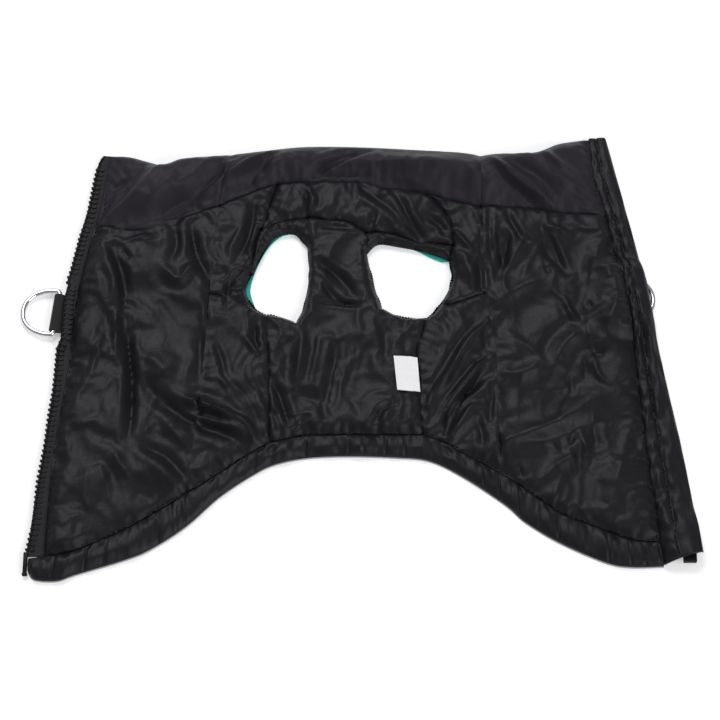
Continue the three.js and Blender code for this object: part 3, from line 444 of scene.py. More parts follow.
shell_holes = [
    np.vstack([
        seam_run("-holeChestLeft -holeFootLeft", 2),
        smooth_line([(-61, 30.4), (-63.4, 36), (-65, 44), (-61.6, 57), (-55.6, 70), (-50.2, 77)], 12),
        smooth_line([(-44, 81), (-35, 79.4), (-30, 71), (-29, 58), (-29.6, 45), (-32.4, 30)], 12),
    ]),
    np.vstack([
        smooth_line([(52.4, 61), (47, 62.6), (41, 65.4), (34, 69.4), (24, 73.2), (11, 76)], 10),
        smooth_line([(2.6, 66.5), (4, 60), (6, 50), (8.4, 41), (12, 30.5)], 8),
        seam_run("holeChestRight holeFootRight holeLowRight", 2),
    ]),
]
shell_points, shell_quads = pattern(whole_coat, 2)
shell_loops = outline_loops(shell_quads)
for hole in shell_holes:
    centre = hole.mean(axis=0)
    loop = min(shell_loops, key=lambda one: np.hypot(*(shell_points[one].mean(axis=0) - centre)))
    for i in loop:
        gaps = np.hypot(*(hole - shell_points[i]).T)
        a = int(gaps.argmin())
        chain = hole[[max(a - 1, 0), a, min(a + 1, len(hole) - 1)]]
        dense = evenly(chain, 24) if len(np.unique(chain, axis=0)) > 1 else chain
        shell_points[i] = dense[np.hypot(*(dense - shell_points[i]).T).argmin()]



def wave_scale(spacing):
    """A wave texture's scale for bands this far apart, in metres."""
    return math.tau / 20 / spacing


def woven(name, bands, dark, light, strength, distance, looks):
    """A woven cloth. "bands" gives its threads as direction, spacing in metres and how unevenly they run,
    and they show in the relief and in painted shade, which makes the colour darker in the hollows between
    the threads and lighter where they cross high."""
    material, shader = new_material(name)
    place = add_node(material, "TexCoord")
    threads = [
        add_node(material, "TexWave", {"bands_direction": direction}, {
            "Vector": place.outputs["Object"], "Scale": wave_scale(spacing), "Distortion": uneven,
        })
        for direction, spacing, uneven in bands
    ]
    height = threads[0].outputs["Fac"]
    if len(threads) > 1:
        height = add_node(material, "Math", {"operation": "MULTIPLY"},
                          {0: height, 1: threads[1].outputs["Fac"]}).outputs[0]
    # Painted shade: the colour follows the threads' height, darker where they dip and lighter where they
    # cross high.
    colour_mix = add_node(material, "MixRGB", {}, {
        "Fac": height, "Color1": linear(dark), "Color2": linear(light),
    })
    relief = add_node(material, "Bump", {}, {
        "Height": height, "Strength": strength, "Distance": distance,
    })
    join(material, shader, {"Base Color": colour_mix.outputs[0], "Normal": relief.outputs[0], **looks})
    return material


# Woven polyester, dyed teal: dull, with a fine even thread that breaks up the light. Its threads, 0.25 mm
# apart, are too fine to show, so they are drawn 0.6 mm apart.
# Its two colours are painted shade: the first between the threads, the second where they cross high.
woven_polyester = woven(
    "teal woven polyester", (("X", 0.0006, 0.4), ("Y", 0.0006, 0.4)), "#0f9a90", "#1fb8ac", 0.4, 0.0001,
    {"Roughness": 0.75, "Sheen Weight": 0.2, "Sheen Roughness": 0.5},
)
outer_shell = cloth_wall("outer_shell_cloth", shell_points, shell_quads, lift,
                         lambda points: lift(points) + SHELL_THICK, woven_polyester, trim=0.0)
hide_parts("outer_shell")
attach(outer_shell, "coat")


# Lining. Near-black nylon taffeta over 6 mm of polyester wadding, cut as twelve panels and sewn edge to
# edge. It puffs up between the seams and lies in soft creases from being worn and folded.
LOFT = 6.0              # thickness of lining and wadding in the middle of a panel
THINNEST = 0.9          # and where a seam or a crease presses it flat
CREASE_DEPTH = 1.2      # what the creases' heights below are multiplied by
SEAM_HEIGHT = 4.6       # how far the padding stands above the seams, as seen
UNDER_LINING = SHELL_THICK + 0.3
TAN_VIEW = math.tan(math.pi / 2 - view_height)

# How deep each seam draws the cloth down, how far its dip reaches, how deep its stitched groove is, and
# the depth, length and reach of the small gathers beside it.
seam_pull = {
    "zip": (4.6, 5.0, 0.0, 0.5, 5.4, 6.0), "guard": (3.2, 4.0, 0.0, 0.9, 6.6, 7.0),
    "hem": (3.4, 4.5, 0.0, 0.5, 7.3, 6.0), "neck": (4.7, 2.6, 0.0, 0.2, 9.0, 6.0),
    "facing": (1.4, 2.8, 0.8, 0.45, 7.0, 6.0), "collar": (0.4, 2.0, 0.2, 0.15, 8.0, 3.0),
    "side": (0.25, 2.0, 0.05, 0.25, 9.0, 5.0), "tuck": (0.9, 2.0, 0.6, 0.3, 7.0, 4.0),
    "princess": (1.1, 2.6, 0.6, 0.5, 8.0, 5.0), "yoke": (1.8, 2.6, 0.8, 0.7, 6.5, 5.0),
    "hole": (4.4, 1.9, 0.0, 0.75, 6.0, 5.0), "strap": (4.4, 1.9, 0.0, 0.55, 6.0, 5.0),
    "band": (4.4, 1.9, 0.0, 0.7, 5.0, 4.0),
}
seam_pull["bandSide"] = seam_pull["collar"]
seam_pull["holeTop"] = seam_pull["yoke"]
edge_names = [name for name in seams if name not in ("strapFoot", "guardFoot", "bandTipLeft")]
seam_chains = {name: smooth_line(seams[name], 24) for name in edge_names}


def pull_of(name):
    """The pull of the seam's kind, by the longest part of its name that is listed."""
    kind = max((key for key in seam_pull if name.startswith(key)), key=len)
    return seam_pull[kind]


# The larger creases, as from, to, bow, width and height, with troughs below 0.
folds = [
    (-146, 71, -138, 25, 2, 4, -2.6), (-138.5, 25, -132.5, -53, 3, 3.5, -3),
    (-149, 64, -142, 36, 1, 4, 1.6), (-150, 34, -147, 4, 0, 5, -1.5), (-126, 0, -110, -16, 2, 9, 1.8),
    (-123, -20, -70, -53, -4, 5, -2.6), (-106, -27, -64, -52, 5, 4.5, 2.6),
    (-142, -60, -131, -78, 0, 5, 1.8), (-128, -56, -99, -78, 4, 4, -2),
    (-124, -64, -105, -82, 0, 7, 1.5), (-113, -42, -98, -58, 0, 5, 1.8), (-118, 60, -98, 62, -13, 4, 2),
    (-110, 88, -112, 60, 2, 4, -1.8), (-101, 88, -86, 44, -3, 4, -2.6), (-63, 103, -73, 62, 3, 4, -2.6),
    (-66, 54, -78, 45, 4, 3.5, -2), (-93, 20, -93, -20, 0, 4.5, -1.8), (-71, -20, -57, -48, 2, 4, -1.8),
    (-51, -14, -41, -46, 1, 3.5, -2.4), (-34, 16, -38, -20, 1, 4, 1.6),
    (-14, 14, -20, -38, 1, 3.5, -1.8), (-27, 63, -2, 37, 3, 3.5, -1.8), (1, 112, 35, 77, 2, 4, -3),
    (10, 105, 32, 84, 0, 4.5, 1.5), (-157, 87, -121, 125, -3, 5, 3), (-140, 96, -106, 122, -2, 12, 3.5),
    (-126, 89, -78, 131, -5, 6, -4.5), (-100, 104, -54, 135, 2, 4.5, 2.4),
    (-69, 107, -52, 133, 2, 4, -2.2), (-60, 124, -32, 130, 0, 8, 2), (-29, 117, 6, 136, 6, 4, -3),
    (-10, 127, 66, 126, 2, 8, 2.5), (77, 131, 115, 99, 3, 4.5, 3), (86, 130, 120, 104, 3, 6, -2.4),
    (110, 134, 141, 103, 2, 4, 2), (72, 62, 72.5, 40, 0, 3.5, -3), (84, 86, 83, 54, 2, 4, -2.2),
    (61, 70, 66, 46, 0, 5, 1.5), (107, 84, 121, 53, -2, 4, -2), (80, 36, 110, 52, 0, 9, 2),
    (131, 17, 112, -8, -3, 6, 2.4), (88, -24, 130, -18, 0, 8, -1.8), (72, -58, 134, -29, -4, 8, 2.8),
    (92, -55, 128, -44, -3, 4.5, -1.8), (110, -71, 125, -62, 0, 6, 1.8),
    (134, -34, 135, -62, 0, 4, -1.4), (152, -62, 143, -86, 0, 8, 1.4), (76, 23, 42, -32, -2, 4.5, 2.4),
    (78, -1, 52, -34, -2, 4, 1.6), (74, -10, 49, -48, -3, 4, -2.4), (68, -32, 54, -51, 1, 3.5, 1.8),
]

# The finer creases, as width, height and the points that each runs through.
fine_folds = [
    # left back panel
    (1.5, 1.2, (-143, 30), (-142, -5)), (1.5, 1.1, (-151, 12), (-154, -1), (-156, -12)),
    (1.7, 1.7, (-100, -29), (-90, -33), (-80, -36), (-70, -40), (-64, -45), (-61, -51), (-62, -57)),
    (1.7, 1.6, (-105, -32), (-99, -37), (-87, -41), (-77, -45), (-67, -49)),
    (1.5, -1.3, (-97, -33), (-85, -38.5), (-72, -43)), (1.3, -1.2, (-95.5, -32), (-90, -39)),
    (4.5, -1.2, (-130, -85), (-115, -90)), (1.6, -1.3, (-141, 70), (-136, 62)),
    (1.5, 1.2, (-141, 75), (-122, 79)), (1.6, 1.2, (-160.5, 78), (-166, 35)),
    (1.6, -1.0, (-168.5, 19), (-168.5, 2)), (2.0, -1.2, (-172, -20), (-176, -55)),
    (6.0, -1.4, (-134, 55), (-133, 0)),
    # left side panels
    (1.8, 1.2, (-61, 100), (-66, 60)), (1.6, 1.3, (-67, 12), (-62, 5), (-58, 0)),
    (1.6, -1.3, (-86, 10), (-81, -1), (-78.5, -14)), (1.7, -1.4, (-62, 25), (-61, 10), (-58, 0)),
    (1.5, 1.1, (-81, -14), (-76, -22)), (4.5, 1.4, (-73, -12), (-60, -35)),
    (1.5, -1.9, (-63.5, 57), (-70, 55), (-75.5, 50), (-78, 43), (-78.5, 34)),
    # chest
    (1.6, -1.3, (-50, -35), (-46, -48)), (1.5, -1.2, (-40, -50), (-34, -42)),
    (1.6, 1.2, (-14, -5), (-19, -35)), (1.8, 0.8, (-23, 15), (-28, -15)),
    (4.0, -1.1, (-40, -24), (-22, -29)), (1.6, -1.4, (-23, 50), (-18, 42), (-12, 36), (0, 32.5)),
    (1.4, -1.3, (-26, 36), (0, 33)), (1.8, -2.0, (20, -31), (13, -34), (10, -39), (6, -46)),
    (1.5, -1.3, (12, -40), (9, -50)), (1.5, -1.1, (-28, -37), (-38, -42)),
    (4.0, -1.0, (14, 20), (15, -5)), (4.0, -1.2, (-43, 14), (-44, -8)),
    # yoke
    (2.0, -2.2, (21, 107), (25, 100), (29, 92), (33, 84), (38, 76)),
    (1.9, -1.9, (39, 92), (47, 87), (51, 78)), (1.6, -1.3, (9, 94), (6, 84)),
    (1.7, 1.2, (-33, 112), (-28, 103), (-30, 95)), (0.9, -1.0, (-32, 112), (-32, 90)),
    (1.9, -1.3, (-27, 86), (-3, 84)),
    # neck facing
    (1.7, -1.2, (-149, 110), (-138, 118)), (1.7, -1.2, (-146, 100), (-135, 115)),
    (2.4, -2.0, (-87, 111), (-79, 121), (-72, 126), (-61, 133)),
    (2.0, 1.7, (-101, 103), (-90, 110), (-82, 116), (-75, 122), (-65, 128), (-55, 134)),
    (1.8, 1.4, (-85, 115), (-70, 125), (-50, 137)), (1.6, -1.2, (-83, 100), (-80, 112)),
    (1.2, -1.0, (-48, 113), (-47, 118)), (1.5, -1.2, (-27, 118.8), (8, 119)),
    (1.8, -1.7, (-27, 121), (-22, 126), (-17, 129), (-10, 131), (5, 137)),
    (2.0, 1.9, (79, 131), (85, 125), (91, 118), (98, 112), (105, 106), (113, 101)),
    (2.0, 1.3, (110, 135), (124, 120)), (2.3, 1.4, (115, 121), (140, 104)),
    # right back panel
    (1.6, -1.4, (82, 84), (83, 70), (85, 60)), (1.5, -1.2, (88, 80), (86, 62)),
    (1.6, -1.4, (77, 95), (78, 60)), (1.6, -1.3, (88, 94), (94, 80), (98, 75)),
    (1.8, -1.5, (108, 84), (114, 75), (119, 60), (122, 52)), (1.6, 1.2, (112, 85), (124, 80)),
    (1.5, -1.2, (109, 62), (112, 52)), (1.2, -1.2, (134, 35), (135, 31)),
    (1.7, 1.3, (120, 36), (124, 27), (128, 21)), (4.0, 1.6, (130, 14), (148, 8)),
    (2.5, -1.4, (135, 1.5), (143, 1.5)), (1.6, -1.3, (131, -2), (131, -14)),
    (1.5, 1.2, (136, -1), (138, -12), (144, -18)), (3.8, 1.5, (81, -10), (90, -12), (100, -9), (105, -1)),
    (1.6, 1.2, (127, -49), (129, -60), (126, -75)), (1.5, -1.1, (122, -50), (120, -57)),
    # right side panels
    (1.5, 1.2, (54, 86), (66, 68)),
    (1.8, 1.8, (75, 22), (65, 12), (60, 5), (55, -5), (49, -16), (42, -25), (40, -35)),
    (1.7, 1.5, (75, -2), (69, -7), (63, -15), (55, -25), (51, -33)),
    (1.8, -1.9, (71, -12), (65, -21), (55, -29), (51, -37), (49, -48)),
    (1.8, 1.6, (71, -31), (63, -34), (57, -43), (53, -50)), (1.5, -1.3, (72, -1), (66, -4)),
    (1.9, -1.4, (68, -40), (70, -50), (70, -58)), (1.7, -1.3, (77, -18), (74, -45)),
    (1.6, -1.2, (75, 19), (73, 12), (74, 4)), (1.4, -1.2, (82, -62), (81, -70)),
    (1.4, -1.2, (91, -70), (92, -76)),
]


def crease_lines():
    """Every crease as its line, width and height. Their places are given at the height of the seams, so
    each is moved towards the hem by as much as the padding stands above them."""
    out = []
    for x0, y0, x1, y1, bow, width, tall in folds:
        start, end = np.array([x0, y0], float), np.array([x1, y1], float)
        along = (end - start) / np.hypot(*(end - start))
        middle_point = (start + end) / 2 + bow * np.array([-along[1], along[0]])
        out.append((smooth_line([start, middle_point, end], 12), 0.72 * width, tall))
    for width, tall, *points in fine_folds:
        out.append((smooth_line(points, 14), width, tall))
    moved = []
    for line, width, tall in out:
        seen = line.copy()
        for _ in range(3):
            line = seen - np.column_stack([np.zeros(len(line)), TAN_VIEW * (lift(line) + SEAM_HEIGHT)])
        moved.append((line, width, tall))
    return moved


creases = crease_lines()


def near_points(points, line, margin):
    """The numbers of the points within a margin of a line's box."""
    low, high = line.min(axis=0) - margin, line.max(axis=0) + margin
    return np.where(((points > low) & (points < high)).all(axis=1))[0]


def padding(points):
    """Thickness of the lining and its wadding over a pattern."""
    dips = np.zeros(len(points))
    small = np.zeros(len(points))
    free = np.ones(len(points))
    for name, chain in seam_chains.items():
        deep, roll, groove, gather, length, reach = pull_of(name)
        near = near_points(points, chain, 30)
        if not len(near):
            continue
        away, along = nearest(points[near], chain)
        dips[near] += (deep * np.exp(-(away / roll) ** 1.4)) ** 3
        small[near] -= groove * np.exp(-(away / 0.8) ** 2)
        turn = sum(ord(letter) for letter in name)
        fade = np.exp(-((away - 1.5) / reach) ** 2) * step(away, 0, 1.2)
        for k in np.where(fade > 0.03)[0]:
            fold = noise.noise(Vector((2.1 * along[k] / length, away[k] / 9, turn * 0.37)))
            patch = 0.7 + noise.noise(Vector((along[k] / 21, 2.5, turn * 0.37)))
            small[near[k]] += 1.9 * gather * patch * fade[k] * fold
        free[near] = np.minimum(free[near], step(away, -2 if groove else -1, 3 if groove else 6))
    height = LOFT - np.cbrt(dips) + small
    for line, width, tall in creases:
        near = near_points(points, line, 4 * width)
        if not len(near):
            continue
        away, along = nearest(points[near], line)
        q = away / width
        whole = length_of(line)
        ends = np.minimum(along, whole - along) / whole
        fade = 0.3 + 0.7 * step(ends, 0, 0.3)
        shape = np.exp(-q ** 1.5) - 0.2 * np.exp(-((q - 2.2) / 0.8) ** 2)
        height[near] += CREASE_DEPTH * tall * fade * shape * free[near]
    for i in range(len(points)):
        x, y = points[i]
        swell = noise.noise(Vector((x / 27, y / 36, 3.0)))
        bend = noise.noise(Vector((x / 30, y / 30, 17.0)))
        ripple = (1 - abs(noise.noise(Vector((x / 15 + bend, y / 34 + bend, 7.0))))) ** 3
        fine = (1 - abs(noise.noise(Vector((x / 7 + bend, y / 16, 11.0))))) ** 3
        height[i] += free[i] * (2.3 * swell + 0.7 * (ripple - 0.6) + 0.12 * (fine - 0.6))
    return np.maximum(height, THINNEST)


def under_lining(points):
    """Height of the wadding's underside."""
    return lift(points) + UNDER_LINING


SLACK = 0.05            # how much larger the lining is than its wadding
SLACK_HOLD = 0.06       # how firmly the wadding holds it
SLACK_FRAMES = 20
SLACK_LIMIT = 0.9       # the furthest that the slack may move it, in millimetres


def simulated_slack():
    """How far a cloth simulation lifts the lining. A copy of it, 5% larger than the wadding holds flat and
    held at its seams, buckles into the small folds that lie between the drawn creases."""
    points, quads = pattern(whole_coat, 3)
    start = np.column_stack([points, under_lining(points) + padding(points)])
    copy = add_object("lining_copy", start * 0.001, quads, woven_polyester)
    seam_gap = np.full(len(points), 1e6)
    for chain in seam_chains.values():
        seam_gap = np.minimum(seam_gap, nearest(points, chain)[0])
    held = copy.vertex_groups.new(name="held")
    for i, gap in enumerate(seam_gap):
        held.add([i], 1.0 if gap < 1.5 else SLACK_HOLD, "REPLACE")
    cloth = copy.modifiers.new("cloth", "CLOTH")
    cloth.settings.quality = 6
    cloth.settings.mass = 0.1
    cloth.settings.shrink_min = -SLACK
    cloth.settings.bending_stiffness = 0.2
    cloth.settings.vertex_group_mass = "held"
    cloth.settings.effector_weights.gravity = 0
    cloth.collision_settings.use_collision = False
    scene = bpy.context.scene
    scene.frame_start, scene.frame_end = 1, SLACK_FRAMES
    cloth.point_cache.frame_start, cloth.point_cache.frame_end = 1, SLACK_FRAMES
    for frame_number in range(1, SLACK_FRAMES + 1):
        scene.frame_set(frame_number)
    settled = copy.evaluated_get(bpy.context.evaluated_depsgraph_get()).data
    moved = np.array([point.co for point in settled.vertices]) * 1000
    bpy.data.objects.remove(copy)
    scene.frame_set(1)
    return points, moved[:, 2] - start[:, 2]


slack_tree = None
slack_points, slack_rise = simulated_slack()
slack_rise = SLACK_LIMIT * np.tanh(slack_rise / SLACK_LIMIT)
slack_tree = kdtree.KDTree(len(slack_points))
for i, point in enumerate(slack_points):
    slack_tree.insert((*point, 0), i)
slack_tree.balance()


def slack(points):
    """The simulated move at any place, from the simulated points nearest to it."""
    out = np.zeros(len(points))
    if slack_tree is None:
        return out
    for i, point in enumerate(points):
        total, weight = 0.0, 0.0
        for _, j, gap in slack_tree.find_n((*point, 0), 7):
            near = math.exp(-(gap / 1.9) ** 2)
            total += near * slack_rise[j]
            weight += near
        out[i] = total / weight if weight > 0 else 0.0
    return out


def over_lining(points):
    """Height of the lining's face."""
    return under_lining(points) + np.maximum(padding(points) + slack(points), THINNEST)


# Nylon taffeta: a tight plain weave of bright filament, so black with a soft broad shine on every crest,
# and faint crinkles 3 to 6 mm long. Its threads, 0.15 mm apart, are drawn 0.7 mm apart.
def taffeta(name, dark, light, rough, crinkle):
    """Taffeta dyed in one lot, by its colours, its roughness and how crinkled it is."""
    material, shader = new_material(name)
    place = add_node(material, "TexCoord")
    stretched = add_node(material, "Mapping", {}, {
        "Vector": place.outputs["Object"], "Scale": (220.0, 160.0, 220.0),
    })
    crinkles = add_node(material, "TexNoise", {}, {
        "Vector": stretched.outputs[0], "Scale": 1.0, "Detail": 4.0, "Roughness": 0.55,
        "Distortion": 1.2,
    })
    blotch = add_node(material, "TexNoise", {}, {
        "Vector": place.outputs["Object"], "Scale": 38.0, "Detail": 3.0,
    })
    threads = [
        add_node(material, "TexWave", {"bands_direction": direction},
                 {"Vector": place.outputs["Object"], "Scale": wave_scale(0.0007), "Distortion": 0.6})
        for direction in ("X", "Y")
    ]
    weave = add_node(material, "Math", {"operation": "MULTIPLY"},
                     {0: threads[0].outputs["Fac"], 1: threads[1].outputs["Fac"]})
    colour_mix = add_node(material, "MixRGB", {}, {
        "Fac": blotch.outputs["Fac"], "Color1": linear(dark), "Color2": linear(light),
    })
    gloss = add_node(material, "MapRange", {}, {
        "Value": crinkles.outputs["Fac"], "To Min": rough - 0.07, "To Max": rough + 0.09,
    })
    threads_relief = add_node(material, "Bump", {}, {
        "Height": weave.outputs[0], "Strength": 0.12, "Distance": 0.00008,
    })
    relief = add_node(material, "Bump", {}, {
        "Height": crinkles.outputs["Fac"], "Strength": crinkle, "Distance": 0.0007,
        "Normal": threads_relief.outputs[0],
    })
    join(material, shader, {
        "Base Color": colour_mix.outputs[0], "Roughness": gloss.outputs[0], "Normal": relief.outputs[0],
        "Specular IOR Level": 0.235, "Sheen Weight": 0.03, "Sheen Roughness": 0.35,
    })
    return material


lining_taffeta = taffeta("black nylon taffeta", "#110f14", "#18161b", 0.47, 0.35)
facing_taffeta = taffeta("black polyester taffeta, faced", "#1f1c22", "#29262d", 0.56, 0.22)
panel_groups = (
    (collar_blocks, facing_taffeta, "facing"),
    (back_blocks, lining_taffeta, "lining"),
    (side_blocks, lining_taffeta, "lining"),
    (chest_blocks, lining_taffeta, "lining"),
    (binding_blocks, lining_taffeta, "lining"),
)
for group, material, slot in panel_groups:
    for node_name, blocks in group.items():
        points, quads = pattern(blocks, CLOTH_CELLS)
        panel = cloth_wall(f"{node_name}_cloth", points, quads, under_lining, over_lining, material)
        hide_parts(node_name)
        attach(panel, "coat")


# Hem. A casing of the lining's taffeta is sewn round the lower edge over a cord, which gathers it, and a
# strip of pale reflective ribbon is sewn in under its outer half, so slivers of it show.
hem_edge = [
    (-186.6, -134), (-182.5, -138.6), (-170, -139.2), (-160, -135.6), (-133.4, -127), (-118, -120.2),
    (-98.5, -106.5), (-79.7, -88.5), (-61, -75), (-48.7, -68.6), (-31, -64.6), (-8, -63.4), (20, -64.2),
    (40, -66.5), (60, -77), (83, -93.6), (94, -104), (113, -116.4), (138.4, -128.2), (153, -131),
    (171, -130.6),
]
HEM_LENGTH = 440.0


def gathers(t, count, drift):
    """Uneven gathers along an edge, from about -1 to 1, for t from 0 to 1: low swells, with narrow
    creases here and there."""
    swell = noise.noise(Vector((count * t * 0.7, drift, 0.5)))
    crease = abs(noise.noise(Vector((count * t * 0.55, drift, 4.5))))
    fine = noise.noise(Vector((count * t * 2.3, drift, 8.5)))
    return 1.3 * swell + 0.3 * fine - 0.8 * max(0.0, 1 - 8 * crease)


def rounded(section, steps):
    """The closed smooth curve through a section's points."""
    rows = np.array(section, float)
    lap = np.vstack([rows[-2:], rows, rows[:2]])
    at = np.linspace(2, 2 + len(rows), steps, endpoint=False)
    first = at.astype(int)
    turns = (lap[(first + k - 2) % len(rows) + 2] for k in (-1, 0, 1, 2))
    return between(*turns, (at - first)[:, None], 0.42)


def strip(name, inner, outer, section, material, smooth_steps=None):
    """A narrow closed piece along an edge. "section" gives places across it, 0 at the inner line and 1 at
    the outer, with their heights."""
    rows = []
    for k in range(len(inner)):
        ring = np.array(section(k / (len(inner) - 1), inner[k], outer[k]), float)
        if smooth_steps:
            width = np.hypot(*(outer[k] - inner[k]))
            ring = rounded(ring * (width, 1), smooth_steps) / (width, 1)
        flat = inner[k] + ring[:, :1] * (outer[k] - inner[k]) - middle
        rows.append(np.column_stack([flat, ring[:, 1]]))
    count = len(rows[0])
    faces = []
    for k in range(len(rows) - 1):
        for i in range(count):
            a, b = k * count + i, k * count + (i + 1) % count
            faces.append((a, b, b + count, a + count))
    last = (len(rows) - 1) * count
    faces += [tuple(reversed(range(count))), tuple(range(last, last + count))]
    made = add_object(name, np.vstack(rows) * 0.001, faces, material)
    face_out(made)
    return made


def face_out(made):
    """Turns a closed piece's faces outward."""
    bpy.context.view_layer.objects.active = made
    made.select_set(True)
    bpy.ops.object.mode_set(mode="EDIT")
    bpy.ops.mesh.select_all(action="SELECT")
    bpy.ops.mesh.normals_make_consistent(inside=False)
    bpy.ops.object.mode_set(mode="OBJECT")
    made.select_set(False)


hem_seam = np.vstack([[(-186.3, -126.6)], seam_run("hemA hemB hemC hemD hemE", 4)])
hem_steps = 860
hem_outer = smooth_line(hem_edge, hem_steps)


def casing_section(t, inner, outer):
    """The casing's section, gathered along its stitches and nearly smooth over the cord."""
    def pucker(place, spacing):
        return noise.noise(Vector((HEM_LENGTH * t / spacing + place, 2 * place, 4.5)))

    wave = gathers(t, HEM_LENGTH / 8, 1)
    return [
        (0.02, 1.1), (0.0, 3.1 + 0.4 * pucker(0, 4)), (0.1, 4.6 + 1.4 * pucker(0.1, 4.4)),
        (0.32, 5.5 + wave + 1.2 * pucker(0.35, 8)), (0.62, 5.6 + 1.1 * wave + 0.8 * pucker(0.6, 13)),
        (0.86, 4.3 + 0.9 * wave + 0.6 * pucker(0.9, 13)),
        (0.99 + 0.02 * wave, 2.5 + 0.5 * wave), (0.97, 1.1), (0.5, 0.9),
    ]


hem_casing = strip("hem_casing_cloth", evenly(hem_seam, hem_steps), hem_outer, casing_section,
                   lining_taffeta, 28)
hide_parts("hem_casing")
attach(hem_casing, "coat")

# Reflective ribbon: a coat of fine glass beads on grey cloth, so an even pale grey with a dull glitter.
# The beads, 0.05 mm across, are drawn 0.4 mm apart.
bead_ribbon, shader = new_material("glass bead ribbon")
place = add_node(bead_ribbon, "TexCoord")
beads = add_node(bead_ribbon, "TexVoronoi", {}, {"Vector": place.outputs["Object"], "Scale": 2500.0})
tone = add_node(bead_ribbon, "MixRGB", {}, {
    "Fac": beads.outputs["Distance"], "Color1": linear("#c6cacd"), "Color2": linear("#a9adb1"),
})
relief = add_node(bead_ribbon, "Bump", {}, {
    "Height": beads.outputs["Distance"], "Strength": 0.3, "Distance": 0.0001,
})
join(bead_ribbon, shader, {
    "Base Color": tone.outputs[0], "Normal": relief.outputs[0], "Roughness": 0.4,
    "Sheen Weight": 0.3,
})
ribbon_steps = 260
hem_trim = strip("hem_ribbon", evenly(hem_seam, ribbon_steps), smooth_line(hem_edge, ribbon_steps),
                 lambda t, inner, outer: [(0.5, 0.05), (0.5, 0.75), (1.03, 0.75), (1.03, 0.05)],
                 bead_ribbon)
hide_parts("hem_trim")
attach(hem_trim, "coat")


# Zip tapes. Woven polyester ribbon, sewn between lining and shell down both front edges. The left one
# shows, rippled by its stitches, and rises over the ring's tab. The right one lies under the guard.
zip_edge = [
    (-153.6, 133.2), (-156.6, 126), (-160.2, 102), (-165, 79), (-169.7, 55), (-173.9, 36), (-174.9, 12),
    (-176.4, -24), (-179.2, -55), (-182.6, -87), (-184.7, -112), (-186.7, -125),
]
TAPE = 1.0              # thickness
TAPE_LOW = 1.5          # height of the underside
TAPE_WAVES = 26         # ripples from end to end
CORD_OUT = 1.6          # how far the cord stands out of the tape
ring_left_place = np.array([-178.4, 27.2])
zip_inner = evenly(seam_run("zipLow zipTop", 3), TAPE_WAVES * 16)
zip_outer = smooth_line(zip_edge[::-1], TAPE_WAVES * 16)


def near_left_ring(y, near, far):
    """1 beside the left ring, falling to 0 between two distances from its middle."""
    return 1 - step(np.abs(y - ring_left_place[1]), near, far)


# The outer edge stands out by the cord, but is drawn in beside the ring, to leave room for its swing.
zip_outer[:, 0] -= CORD_OUT - (CORD_OUT + 0.3) * near_left_ring(zip_outer[:, 1], 16.5, 23)


def left_tape_section(t, inner, outer):
    """The tape's section, with its woven cord along the outer edge."""
    gap = 0.03 / np.hypot(*(outer - inner))
    over = near_left_ring(inner[1], 13, 27)
    wave = 0.4 + 0.4 * gathers(t, TAPE_WAVES, 3)
    low = TAPE_LOW + over
    rise = 1.8 * over + wave
    edge = low + 1.8 * over
    return [
        (gap, low), (gap, low + TAPE), (0.25, low + TAPE + 0.8 * rise), (0.5, low + TAPE + rise),
        (0.78, low + TAPE + 0.6 * rise + 0.4 * (edge - low)), (0.87, edge + TAPE + 0.1),
        (0.94, edge + TAPE + 0.5), (1.0, edge + TAPE), (1.0, edge), (0.94, edge - 0.2),
        (0.75, low + 0.6 * rise + 0.4 * (edge - low)), (0.5, low + rise),
    ]


# Woven polyester ribbon: matt black, with fine ribs that take the shine off. They are 0.5 mm apart, and
# drawn 0.8 and 1.2 mm apart.
# Its two colours are painted shade: the first between the threads, the second where they cross high.
zip_ribbon = woven(
    "woven polyester ribbon", (("X", 0.0008, 0.8), ("Y", 0.0012, 0.8)), "#151518", "#28282d", 0.5, 0.0002,
    {"Roughness": 0.85, "Sheen Weight": 0.15},
)
tape_left = strip("zip_tape_left_ribbon", zip_inner, zip_outer, left_tape_section, zip_ribbon)
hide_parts("zip_tape_left")



def cord_section(t, inner, outer):
    """A round cord on the tape's outer edge, beaded where the teeth press it."""
    over = near_left_ring(inner[1], 13, 27)
    height = TAPE_LOW + 2.8 * over + TAPE / 2
    wide = 1.05 + 0.12 * math.sin(math.tau * 86 * t)
    width = np.hypot(*(outer - inner))
    return [(1 - (0.55 + wide * math.cos(a)) / width, height + 0.95 * math.sin(a))
            for a in np.linspace(0, math.tau, 10, endpoint=False)]


def spun(name, scale, dark, light, rough, shine):
    """Spun thread, mottled by its twisted plies."""
    material, shader = new_material(name)
    place = add_node(material, "TexCoord")
    plies = add_node(material, "TexNoise", {}, {
        "Vector": place.outputs["Object"], "Scale": scale, "Detail": 2.0,
    })
    colour_mix = add_node(material, "MixRGB", {}, {
        "Fac": plies.outputs["Fac"], "Color1": linear(dark), "Color2": linear(light),
    })
    join(material, shader, {
        "Base Color": colour_mix.outputs[0], "Roughness": rough, "Specular IOR Level": shine,
    })
    return material


# The cord that the teeth grip, woven into the tape's outer edge: spun polyester, black and matt.
black_cord = spun("black polyester cord", 1500.0, "#070708", "#131315", 0.85, 0.15)
cord_left = strip("zip_cord_left", zip_inner, zip_outer, cord_section, black_cord)
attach(cord_left, "coat")

